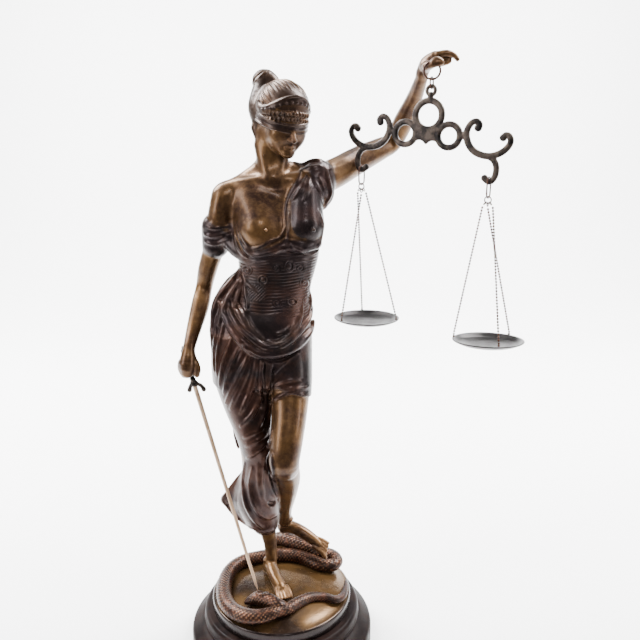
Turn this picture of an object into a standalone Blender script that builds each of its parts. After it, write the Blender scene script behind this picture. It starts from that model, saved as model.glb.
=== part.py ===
"""A bronze statue of lady justice on a turned wooden plinth, with sword, beam and pans.

The figure is shaped like clay: a block of points holds the distance to the surface, limbs and
folds are joined to it or carved out of it, and the surface where the distance is nought is kept.
Points of the figure are written in millimetres as they are seen from in front (across, up) on the
upright plane through the plinth's axis, followed by their depth behind that plane.
"""
import math

import bmesh
import bpy
import numpy as np
import openvdb

# Sizes in metres
FIT_GAP = 0.0003
PLINTH_RADIUS = 0.152
PLINTH_TIER_RADIUS = 0.127
PLINTH_HEIGHT = 0.070
PLINTH_DRUM_SHARE = 0.54
FIGURE_HEIGHT = 0.878
DISC_RADIUS = 0.116
DISC_THICKNESS = 0.020
MOUND_RISE = 0.016
SNAKE_RADIUS = 0.0122
CLAY_STEP = 0.0032
CLAY_FACES = 5150
GRIP_RADIUS = 0.0036
COLLAR_RADIUS = 0.0046
POMMEL_RADIUS = 0.0052
HAND_RING_RADIUS = 0.0113
HAND_RING_WIRE = 0.0015
LINK_WIRE = 0.0011
LINK_HALF_TALL = 0.0076
LINK_HALF_WIDE = 0.0060
EYE_RADIUS = 0.0061
EYE_BAND = 0.0021
EYE_RISE = 0.0330
BEAM_END_BACK = 0.0596
BEAM_TILT_DEGREES = 4.2
BEAM_HALF_LENGTH = 0.123
BEAM_THICKNESS = 0.0068
BEAM_FACES = 1150
HOOK_RING_WIRE = 0.0010
HOOK_RING_HALF_TALL = 0.0140
HOOK_RING_HALF_WIDE = 0.0072
CHAIN_RING_RADIUS = 0.0049
CHAIN_RING_WIRE = 0.0008
CHAIN_LOOP_RADIUS = 0.0029
CHAIN_LOOP_WIRE = 0.0006
CHAIN_LOOP_DEGREES = 40.0
CHAIN_RADIUS = 0.0012
LEFT_FEET_DEGREES = (95.0, 215.0, 335.0)
RIGHT_FEET_DEGREES = (38.0, 163.0, 273.0)
RIGHT_PAN_SLOPE = 0.05
CLIP_RADIUS = 0.0020
CLIP_HEIGHT = 0.0060
PAN_RADIUS = 0.0515
PAN_DEPTH = 0.0105
PAN_WALL = 0.0018
PAN_RIM = 0.0046
LEFT_DROP = 0.2033
RIGHT_DROP = 0.1999

# Where the sculptor's eye is, in metres
EYE_DISTANCE = 1.0
EYE_ACROSS = 0.065
EYE_HEIGHT = 0.805

# The drawing is in millimetres, for a figure 878 mm tall; these turn it to the figure as it is
TO_MM = 1000.0
FAR = 30.0
FIGURE_SIZE = FIGURE_HEIGHT * TO_MM / 878.0


def drawn(length):
    """A size in metres, in the drawing's millimetres."""
    return length * TO_MM / FIGURE_SIZE


EYE = drawn(np.array((EYE_ACROSS, -EYE_DISTANCE, EYE_HEIGHT)))
BEAM_SIZE = drawn(BEAM_HALF_LENGTH) / 123.0


def at(across, up, depth=0.0):
    """The point that is seen at (across, up) on the drawing plane and lies depth behind it."""
    share = 1 - depth / EYE[1]
    return EYE + (np.array((across, 0.0, up)) - EYE) * share


def rows_at(*rows):
    """Rows of across, up, depth, radius turned into rows of x, y, z, radius."""
    return np.array([(*at(row[0], row[1], row[2]), *row[3:]) for row in rows])


def smooth_path(rows, step=4.0):
    """A curve through the rows with points about step apart; other columns ride along."""
    rows = np.array(rows, float)
    ends = np.vstack((2 * rows[0] - rows[1], rows, 2 * rows[-1] - rows[-2]))
    parts = []
    for i in range(1, len(ends) - 2):
        a, b, c, d = ends[i - 1:i + 3]
        count = max(1, int(math.ceil(np.linalg.norm((c - b)[:3]) / step)))
        t = (np.arange(count) / count)[:, None]
        bend = (2 * a - 5 * b + 4 * c - d) * t**2 + (3 * b - a - 3 * c + d) * t**3
        parts.append(0.5 * (2 * b + (c - a) * t + bend))
    parts.append(rows[-1:])
    return np.vstack(parts)


class Clay:
    """A block of points, each with its distance in millimetres to the surface."""

    def __init__(self, low, high, step):
        self.step = step
        self.low = np.array(low, float)
        self.count = np.ceil((np.array(high) - self.low) / step).astype(int) + 1
        self.value = np.full(self.count, FAR, np.float32)
        self.rest = self.value

    def span(self, low, high, reach):
        first = np.floor((np.array(low) - reach - self.low) / self.step)
        last = np.ceil((np.array(high) + reach - self.low) / self.step) + 1
        first = np.clip(first, 0, self.count).astype(int)
        return first, np.maximum(np.clip(last, 0, self.count).astype(int), first)

    def points(self, first, last):
        axes = [self.low[i] + self.step * np.arange(first[i], last[i]) for i in range(3)]
        return [axis.astype(np.float32) for axis in np.ix_(*axes)]

    def join(self, first, last, near, soft, carve=False):
        part = tuple(slice(i, j) for i, j in zip(first, last))
        old = self.value[part]
        if carve:
            mix = np.clip(0.5 - 0.5 * (old + near) / soft, 0, 1)
            self.value[part] = old + (-near - old) * mix + soft * mix * (1 - mix)
        else:
            mix = np.clip(0.5 + 0.5 * (old - near) / soft, 0, 1)
            self.value[part] = old + (near - old) * mix - soft * mix * (1 - mix)

    def limb(self, rows, soft=4.0, carve=False, trim=None, step=5.0, flat=None):
        """A round bar along a smooth path; flat = (direction, share) presses it thin."""
        path = smooth_path(rows, step)
        reach = soft + 7.0
        widest = path[:, 3].max() + reach
        first, last = self.span(path[:, :3].min(0), path[:, :3].max(0), widest)
        near = np.full(last - first, FAR, np.float32)
        for a, b in zip(path[:-1], path[1:]):
            wide = max(a[3], b[3]) + reach
            low, high = self.span(np.minimum(a, b)[:3], np.maximum(a, b)[:3], wide)
            x, y, z = self.points(low, high)
            go = b - a
            size = max(float(go[:3] @ go[:3]), 1e-6)
            share = ((x - a[0]) * go[0] + (y - a[1]) * go[1] + (z - a[2]) * go[2]) / size
            share = np.clip(share, 0, 1)
            dx = x - a[0] - share * go[0]
            dy = y - a[1] - share * go[1]
            dz = z - a[2] - share * go[2]
            gap = dx * dx + dy * dy + dz * dz
            if flat is not None:
                toward = dx * flat[0][0] + dy * flat[0][1] + dz * flat[0][2]
                gap = gap + toward**2 * (1 / flat[1]**2 - 1)
            gap = np.sqrt(gap) - (a[3] + share * go[3])
            if flat is not None:
                gap = gap * flat[1]
            part = tuple(slice(i - k, j - k) for i, j, k in zip(low, high, first))
            near[part] = np.minimum(near[part], gap)
        if trim is not None:
            x, y, z = self.points(first, last)
            point, out = trim
            side = (x - point[0]) * out[0] + (y - point[1]) * out[1] + (z - point[2]) * out[2]
            near = np.maximum(near, side)
        self.join(first, last, near, soft, carve)

    def ball(self, centre, radii, soft=4.0, carve=False, frame=None):
        """An egg with three radii along the rows of frame."""
        radii = np.array(radii, float)
        first, last = self.span(centre, centre, radii.max() + soft + 7.0)
        x, y, z = self.points(first, last)
        x, y, z = x - centre[0], y - centre[1], z - centre[2]
        if frame is not None:
            x, y, z = (row[0] * x + row[1] * y + row[2] * z for row in frame)
        reach = np.sqrt((x / radii[0])**2 + (y / radii[1])**2 + (z / radii[2])**2)
        slope = np.sqrt((x / radii[0]**2)**2 + (y / radii[1]**2)**2 + (z / radii[2]**2)**2)
        near = reach * (reach - 1) / np.maximum(slope, 1e-6)
        self.join(first, last, np.minimum(near, FAR), soft, carve)

    def column(self, rows, soft=4.0, ripple=None, carve=False):
        """An oval column of rows z, x, y, half width, half depth; ripple(angle, z) swells it."""
        path = smooth_path([(row[1], row[2], row[0], row[3], row[4]) for row in rows], 3.0)
        wide = path[:, 3:].max() + soft + 7.0
        first, last = self.span(path[:, :3].min(0), path[:, :3].max(0), wide)
        x, y, z = self.points(first, last)
        order = np.argsort(path[:, 2])
        level = z[0, 0]
        cx, cy, a, b = (
            np.interp(level, path[order, 2], path[order, k]).astype(np.float32)
            for k in (0, 1, 3, 4)
        )
        dx, dy = x - cx, y - cy
        reach = np.sqrt((dx / a)**2 + (dy / b)**2)
        slope = np.sqrt((dx / a**2)**2 + (dy / b**2)**2)
        near = reach * (reach - 1) / np.maximum(slope, 1e-6)
        if ripple is not None:
            near = near - ripple(np.arctan2(dx, -dy), z)
        ends = np.maximum(z - path[:, 2].max(), path[:, 2].min() - z)
        near = np.maximum(near, ends)
        self.join(first, last, np.minimum(near, FAR), soft, carve)

    def settle(self):
        """Later folds are laid on the surface as it is now."""
        self.rest = self.value.copy()

    def read(self, points):
        where = np.rint((points - self.low) / self.step).astype(int)
        inside = ((where >= 0) & (where < self.count)).all(-1)
        where = np.clip(where, 0, self.count - 1)
        got = self.rest[where[..., 0], where[..., 1], where[..., 2]]
        return np.where(inside, got, FAR)

    def lay(self, drawn, behind=False):
        """Puts drawn points (across, up) on the surface and gives its outward direction there."""
        drawn = smooth_path([(p[0], p[1], 0.0) for p in drawn], 3.0)
        depth = np.arange(-150.0, 150.0, self.step / 2)
        if behind:
            depth = depth[::-1]
        eye = EYE * (1, -1 if behind else 1, 1)
        share = 1 - depth / eye[1]
        flat = np.stack((drawn[:, 0], 0 * drawn[:, 0], drawn[:, 1]), -1)
        lines = eye + (flat - eye)[:, None, :] * share[None, :, None]
        seen = self.read(lines)
        met = seen < 0
        pick = np.where(met.any(1), met.argmax(1), seen.argmin(1))
        spots = lines[np.arange(len(pick)), pick]
        pad = np.vstack((spots[:1], spots[:1], spots, spots[-1:], spots[-1:]))
        calm = (pad[:-4] + 2 * pad[1:-3] + 3 * pad[2:-2] + 2 * pad[3:-1] + pad[4:]) / 9
        out = []
        for axis in range(3):
            shift = np.zeros(3)
            shift[axis] = 2.0 * self.step
            out.append(self.read(calm + shift) - self.read(calm - shift))
        out = np.stack(out, -1)
        out /= np.maximum(np.linalg.norm(out, axis=1), 1e-6)[:, None]
        return calm, out

    def fold(self, drawn, wide=4.0, high=3.0, soft=3.0, ends=0.3, behind=False, lift=0.0):
        """A rounded ridge laid along drawn points; thin at its ends, high above the surface."""
        spots, out = self.lay(drawn, behind)
        t = np.linspace(0, 1, len(spots))
        swell = ends + (1 - ends) * np.sin(math.pi * t)**0.6
        radius = wide * swell
        middle = spots + out * ((high - wide) * swell + lift)[:, None]
        self.limb(np.column_stack((middle, radius)), soft, step=12.0)

    def groove(self, drawn, wide=3.0, deep=2.5, soft=2.5, ends=0.2, behind=False):
        """A rounded furrow carved along drawn points."""
        spots, out = self.lay(drawn, behind)
        t = np.linspace(0, 1, len(spots))
        swell = ends + (1 - ends) * np.sin(math.pi * t)**0.6
        radius = wide * swell
        middle = spots + out * ((wide - deep) * swell)[:, None]
        self.limb(np.column_stack((middle, radius)), soft, carve=True, step=12.0)

    def surface(self):
        """Corner points in metres and faces of the surface, its largest closed part only."""
        for attempt in range(12):
            grid = openvdb.FloatGrid(FAR)
            grid.copyFromArray(self.value)
            points, triangles, quads = grid.convertToPolygons(0.0, 0.0)
            halves = np.vstack((quads[:, [0, 1, 2]], quads[:, [0, 2, 3]]))
            faces = np.vstack((triangles, halves)) if len(triangles) else halves
            pairs = np.sort(np.vstack((faces[:, :2], faces[:, 1:], faces[:, [2, 0]])), 1)
            code = pairs[:, 0].astype(np.int64) * len(points) + pairs[:, 1]
            code, times = np.unique(code, return_counts=True)
            pinched = np.unique(np.concatenate(np.divmod(code[times > 2], len(points))))
            if not len(pinched):
                break
            # Fill the cells where two sheets of the surface only share an edge
            for p in points[pinched]:
                i, j, k = np.floor(p).astype(int)
                block = self.value[i:i + 2, j:j + 2, k:k + 2]
                np.minimum(block, -0.3 * self.step, out=block)
        label = np.arange(len(points))
        while True:
            low = label[faces].min(1)
            fresh = label.copy()
            for k in range(3):
                np.minimum.at(fresh, faces[:, k], low)
            fresh = fresh[fresh]
            if (fresh == label).all():
                break
            label = fresh
        keep = label == np.bincount(label).argmax()
        number = np.cumsum(keep) - 1
        faces = number[faces[keep[faces].all(1)]]
        points = (points[keep] * self.step + self.low) / TO_MM
        a, b, c = points[faces[:, 0]], points[faces[:, 1]], points[faces[:, 2]]
        if np.einsum("ij,ij->i", a, np.cross(b, c)).sum() < 0:
            faces = faces[:, ::-1]
        return points, faces


def turned(yaw, nod, lean):
    """Side, front and up directions of a head turned, nodded and leaned by degrees."""
    yaw, nod, lean = (math.radians(v) for v in (yaw, nod, lean))
    front = np.array((math.sin(yaw), -math.cos(yaw), 0.0))
    side = np.array((math.cos(yaw), math.sin(yaw), 0.0))
    up = np.array((0.0, 0.0, 1.0))
    front, up = (
        front * math.cos(nod) - up * math.sin(nod),
        up * math.cos(nod) + front * math.sin(nod),
    )
    side, up = (
        side * math.cos(lean) - up * math.sin(lean),
        up * math.cos(lean) + side * math.sin(lean),
    )
    return np.stack((side, front, up))


HEAD_MIDDLE = np.array((14.0, -1.0, 858.0))
HEAD_FRAME = turned(27.0, 19.0, 3.0)


def head_spot(side, front, up):
    return HEAD_MIDDLE + np.array((side, front, up)) @ HEAD_FRAME


def head_rows(*rows):
    return np.array([(*head_spot(*row[:3]), row[3]) for row in rows])


def shape_head(clay):
    frame = HEAD_FRAME
    clay.ball(head_spot(0, -5, 9), (32.5, 38, 35), 6, frame=frame)
    clay.ball(head_spot(0, 13, -13), (25, 25, 31), 8, frame=frame)
    clay.limb(head_rows((-17, 6, -26, 9), (0, 29, -42, 7.5), (17, 6, -26, 9)), 8)
    clay.ball(head_spot(0, 32, -42), (8, 7, 7), 6, frame=frame)
    clay.limb(head_rows((0, 37, -2, 3.2), (0, 42, -10, 3.4), (0, 45, -17, 3.8)), 4)
    clay.ball(head_spot(-5, 40, -18), (3.5, 4, 3), 2, frame=frame)
    clay.ball(head_spot(5, 40, -18), (3.5, 4, 3), 2, frame=frame)
    clay.limb(head_rows((-8, 35, -29, 1.5), (0, 39.5, -27, 2.8), (8, 35, -29, 1.5)), 2)
    clay.limb(head_rows((-7, 35, -31, 1.5), (0, 38.5, -32.5, 3.0), (7, 35, -31, 1.5)), 2)
    clay.ball(head_spot(-21, 18, -17), (9, 9, 10), 8, frame=frame)
    clay.ball(head_spot(21, 18, -17), (9, 9, 10), 8, frame=frame)
    # Hair drawn up and back to the bun
    clay.ball(head_spot(0, -10, 11), (37, 40, 37.5), 5, frame=frame)
    clay.ball(head_spot(-5, -22, 2), (33, 29, 30), 8, frame=frame)
    clay.ball(at(-13, 906, 32), (19, 19, 18.5), 5)
    clay.ball(at(-17, 892, 34), (16, 15, 12), 6)
    # Diadem, a raised band that peaks over the brow
    band = []
    for turn in np.linspace(-118, 118, 25):
        t = math.radians(turn)
        rise = 20 + 12 * math.cos(t)**2 * (math.cos(t) > 0)
        band.append((33.5 * math.sin(t), -7 + 36 * math.cos(t), rise, 5.5))
    clay.limb(head_rows(*band), 2.5)
    # Blindfold
    band = []
    for turn in np.linspace(0, 360, 33):
        t = math.radians(turn)
        band.append((30 * math.sin(t), -6 + 38 * math.cos(t), 4 + 3 * math.cos(t), 6.5))
    clay.limb(head_rows(*band), 2.0)
    # Fringe between them
    for turn in np.linspace(-70, 70, 11):
        t = math.radians(turn)
        clay.ball(head_spot(32 * math.sin(t), -6 + 37 * math.cos(t), 15), (6, 6, 6), 3, frame=frame)
    # Lock beside the neck
    clay.limb(rows_at(
        (-28, 843, 12, 7), (-23, 827, 4, 5), (-16, 815, -4, 3),
    ), 4)
    clay.limb(rows_at(
        (-31, 871, 26, 6), (-31, 854, 26, 6), (-26, 838, 22, 6), (-19, 827, 16, 8),
    ), 8)


def shape_body(clay):
    # Neck, shoulders and trunk
    clay.limb(rows_at(
        (-5, 838, 8, 20), (-6, 813, 9, 19.5), (-6, 791, 12, 21),
        (-5, 767, 16, 27),
    ), 8)
    clay.limb(rows_at((-11, 790, 20, 15), (-43, 769, 16, 14), (-73, 751, 10, 14)), 12)
    clay.limb(rows_at((1, 790, 20, 14), (30, 780, 18, 14), (59, 773, 18, 15)), 12)
    clay.column((
        (752, -2, 12, 44, 22), (735, -4, 9, 58, 31), (715, -3, 7, 61, 37), (695, 0, 5, 62, 40),
        (670, 1, 4, 60, 40), (645, 1, 4, 55, 38), (615, -3, 5, 51, 36), (590, -10, 6, 56, 40),
        (560, -20, 7, 68, 47), (530, -25, 8, 73, 50), (500, -25, 8, 70, 48),
    ), 12)
    clay.ball((-6, 13, 742), (72, 25, 26), 14)
    clay.ball((26, 14, 752), (42, 24, 24), 12)
    clay.ball((-30, 12, 738), (44, 26, 22), 12)
    clay.limb(rows_at((-17, 767, -14, 3), (-49, 764, -9, 4), (-73, 756, 0, 5)), 7)
    clay.limb(rows_at((5, 769, -13, 3), (36, 772, -6, 4), (56, 773, 4, 5)), 7)
    clay.limb(rows_at((-32, 734, -10, 20), (-26, 702, -21, 25)), 16)
    clay.ball(at(-15, 697, -51), (2.6, 3, 2.6), 2)
    clay.limb(rows_at((41, 741, -8, 20), (43, 705, -19, 25)), 16)
    clay.ball(at(56, 697, -48), (2.8, 3, 2.8), 3)
    # Right arm, hanging to the sword
    clay.limb(rows_at(
        (-76, 746, 6, 19), (-82, 719, 8, 19), (-90, 682, 18, 16.5),
        (-104, 640, 34, 14.8), (-111, 611, 42, 13), (-118, 583, 28, 14),
        (-129, 547, 2, 11.5), (-138, 516, -24, 9.2), (-140, 502, -30, 10),
    ), 8)
    # Left arm, raised to the beam; it bends back further when a longer beam hangs before it
    back = 90 * (BEAM_SIZE - 1)
    clay.limb(rows_at(
        (56, 767, 16 + 0.4 * back, 23), (87, 780, 42 + back, 22.5),
        (123, 800, 78 + back, 20.5), (152, 814, 102 + back, 17.5),
        (170, 824, 108 + back, 15), (185, 853, 90 + 0.9 * back, 15.5),
        (199, 884, 60 + 0.5 * back, 12), (208, 910, 28, 9.2),
    ), 8)
    # Left thigh and shin, bare below the short skirt
    clay.limb(rows_at(
        (11, 519, 6, 39), (16, 471, -8, 34), (17, 421, -28, 28.5),
        (12, 364, -50, 25), (7, 326, -58, 23.5), (9, 315, -52, 20.5),
    ), 8)
    clay.limb(rows_at(
        (8, 321, -50, 19.5), (14, 296, -18, 18.5), (10, 265, 14, 16.5),
        (6, 240, 38, 13.5), (5, 220, 52, 13),
    ), 8)
    # Left foot on the coil
    clay.limb(rows_at(
        (5, 207, 62, 12), (18, 205, 57, 11), (35, 196, 49, 10.5),
        (52, 183, 43, 9.5), (63, 173, 38, 8),
    ), 5, step=4)
    for k in range(5):
        t = k / 4
        clay.limb(rows_at(
            (*mixed((58, 184), (57, 171), t), 43 - 9 * t, 5.4),
            (*mixed((70, 180), (70, 162), t), 39 - 11 * t, 4.6 - 0.8 * abs(t - 0.9)),
            (*mixed((79, 175), (79, 151), t), 36 - 11 * t, 3.8),
        ), 1.5)
    # Right leg and foot, standing
    clay.limb(rows_at(
        (-50, 519, 8, 44), (-50, 446, 0, 36), (-41, 366, -12, 24.5),
        (-35, 308, -2, 22.5), (-28, 236, 12, 18), (-19, 181, 20, 11.5),
        (-17, 151, 19, 10), (-19, 135, 20, 11),
    ), 8)
    clay.limb(rows_at(
        (-22, 133, 32, 10), (-18, 130, 12, 10.5), (-11, 110, -12, 10.5),
        (-3, 91, -32, 10), (3, 79, -42, 8.5),
    ), 5, step=4)
    for k in range(5):
        t = k / 4
        clay.limb(rows_at(
            (*mixed((-7, 85), (8, 87), t), -40, 5.2),
            (*mixed((-3, 71), (11, 76), t), -50 + 4 * t, 4.2 + 0.5 * t),
            (*mixed((-2, 66), (13, 70), t), -55 + 4 * t, 3.8 + 0.5 * t),
        ), 1.5)


def mixed(a, b, share):
    """The point at a share of the way from a to b."""
    return tuple(p + (q - p) * share for p, q in zip(a, b))


def shape_hands(clay):
    # The right hand shows its back and holds the hilt on its far side
    clay.limb(rows_at(
        (-140, 505, -29, 9.3), (-142, 489, -32, 12.8), (-143, 477, -30, 11),
    ), 4)
    clay.limb(rows_at((-150, 490, -30, 6.5), (-151, 482, -29, 6.5), (-147, 472, -26, 5.5)), 4)
    for k in range(4):
        t = k / 3
        clay.limb(rows_at(
            (*mixed((-151, 489), (-148, 471), t), -28, 4.4),
            (*mixed((-151, 489), (-147, 470), t), -18, 4.4),
            (*mixed((-141, 490), (-137, 471), t), -11, 4.4),
            (*mixed((-132, 492), (-128, 475), t), -18, 4.0),
        ), 1.5)
    clay.limb(rows_at(
        (-133, 498, -30, 5), (-129, 488, -30, 5.8), (-127, 479, -29, 5.4),
        (-128, 471, -28, 4.4),
    ), 3)
    guard, tip = at(-133, 456, -20), at(-41, 84, -52)
    along = (guard - tip) / np.linalg.norm(guard - tip)
    clay.limb([(*(guard + along * up), drawn(GRIP_RADIUS) + 0.6) for up in (0, 56)], 0.5, carve=True)
    # Left hand, palm down with the ring hung over the thumb
    clay.limb(rows_at((209, 918, 20, 9.2), (215, 931, 8, 9.5), (226, 938, 0, 9)), 5)
    clay.limb(rows_at(
        (230, 942, -6, 5), (243, 944, -9, 4.6), (253, 941, -10, 3.8),
        (258, 936, -10, 3.0),
    ), 2)
    for k in range(3):
        t = k / 2
        depth = -1 + 6 * k
        clay.limb(rows_at(
            (230, 942, depth, 5),
            (*mixed((243, 942), (240, 942), t), depth - 1, 4.4),
            (*mixed((246, 934), (243, 934), t), depth - 3, 4.0),
            (*mixed((236, 930), (234, 930), t), depth - 5, 3.6),
        ), 2)
    clay.limb(rows_at(
        (215, 927, -6, 6.5), (224, 930, -16, 5.6), (235, 932, -18, 4.6),
    ), 3)
    clay.ball(at(229, 934, -15), (8, 6.5, 6), 3)


def shape_robe(clay):
    """Volumes of cloth before their folds."""
    # Bodice over the left breast, corset and hips
    clay.limb(rows_at((44, 749, -8, 22), (43, 705, -20, 26.5)), 10)
    clay.ball(at(59, 764, 10), (20, 24, 26), 10)
    clay.limb(rows_at((62, 776, 12, 24), (74, 750, 10, 12), (69, 735, 6, 8)), 6)
    clay.limb(rows_at((-89, 702, 14, 22), (-91, 675, 20, 20.5)), 3)
    clay.limb(rows_at((-75, 688, 8, 13), (-58, 670, -4, 14), (-46, 661, -12, 12)), 8)
    clay.column((
        (678, 2, 3, 62, 43), (655, 2, 3, 59, 42), (630, -1, 4, 55.5, 39.5),
        (613, -4, 5, 54, 39), (590, -11, 6, 59, 43), (565, -20, 7, 69, 49), (545, -26, 8, 73, 53),
    ), 3)
    clay.limb(rows_at(
        (-54, 629, 2, 10), (-64, 609, 4, 19), (-70, 581, 4, 29),
        (-69, 551, 4, 36),
    ), 8)
    clay.column((
        (578, -24, 7, 65, 48), (562, -24.5, 7, 73.5, 53), (536, -25, 7, 76, 56),
        (510, -26, 7, 75, 55), (480, -30, 6, 72.5, 52), (462, -36, 4, 67, 48),
    ), 6)
    # Skirt down the standing leg
    clay.column((
        (540, -46, 8, 57, 54), (477, -57, 4, 46, 50), (424, -48, -2, 40, 45),
        (366, -36, -8, 28, 37), (333, -34, -4, 24, 33), (297, -34, 2, 29, 35),
        (254, -38, 6, 36, 38), (218, -33, 8, 29, 30), (196, -26, 10, 18, 22),
    ), 8)
    # Short skirt over the left thigh, cut along its slanting hem
    hem = at(21, 439, -55)
    clay.limb(rows_at(
        (9, 527, 6, 43), (15, 475, -6, 37.5), (17, 429, -26, 33),
        (16, 395, -40, 30.5),
    ), 5, trim=(hem, np.array((-0.33, -0.12, -0.93))))
    # Flap that swings out behind the shin
    clay.limb(rows_at(
        (-49, 294, 14, 18), (-70, 269, 18, 15.5), (-88, 256, 20, 10.5),
    ), 8)
    clay.limb(rows_at(
        (-50, 272, 10, 20), (-62, 247, 14, 15), (-71, 234, 16, 10),
    ), 8)


def shape_ground(clay):
    """The round disc and the low mound on it."""
    wide = drawn(DISC_RADIUS)
    floor = 70.0
    top = floor + drawn(DISC_THICKNESS)
    clay.column((
        (floor - 12, 0, 0, wide, wide), (top - 2, 0, 0, wide, wide),
        (top, 0, 0, wide - 2, wide - 2),
    ), 2)
    clay.ball((0, 0, top - 6), (wide - 5, wide - 5, 6 + drawn(MOUND_RISE)), 4)


def shape_snake(clay):
    thick = drawn(SNAKE_RADIUS)
    coil = (
        (-26, 84, 110, 0.7), (-19, 94, 117, 0.95), (-4, 94, 124, 1.18), (14, 85, 123.5, 1.18),
        (42, 72, 121, 1.06), (67, 60, 117, 1.0), (86, 59, 112, 0.95), (94, 50, 108, 0.92),
        (86, 38, 107, 0.95), (65, 38, 108, 1.0), (37, 56, 109, 1.05), (8, 63, 110, 1.05),
        (-21, 62, 110, 1.0), (-46, 59, 108, 0.98), (-68, 51, 107, 0.98), (-85, 35, 106, 0.98),
        (-94, 11, 105, 0.98), (-95, -21, 104, 1.0), (-89, -51, 103, 1.0), (-75, -75, 103, 1.0),
        (-56, -90, 104, 1.0), (-35, -95, 105, 0.95), (-15, -91, 106, 0.9), (0, -84, 107, 0.75),
    )
    head = (
        (8, -78, 107, 0.8), (-3, -74, 111, 0.85), (-18, -65, 113, 0.95), (-35, -59, 111, 0.92),
        (-48, -60, 108, 0.6), (-55, -62, 106, 0.3),
    )
    tail = (
        (-11, -84, 104, 0.8), (11, -77, 104, 0.8), (31, -59, 104, 0.78), (50, -46, 103, 0.72),
        (72, -42, 101, 0.62), (90, -45, 99, 0.55), (102, -34, 98, 0.48), (108, -13, 98, 0.36),
        (109, 4, 99, 0.2),
    )
    spread = drawn(DISC_RADIUS) / 116.0
    for part in (coil, head, tail):
        clay.limb([(x * spread, y * spread, z, thick * share) for x, y, z, share in part], 2.5)


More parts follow.
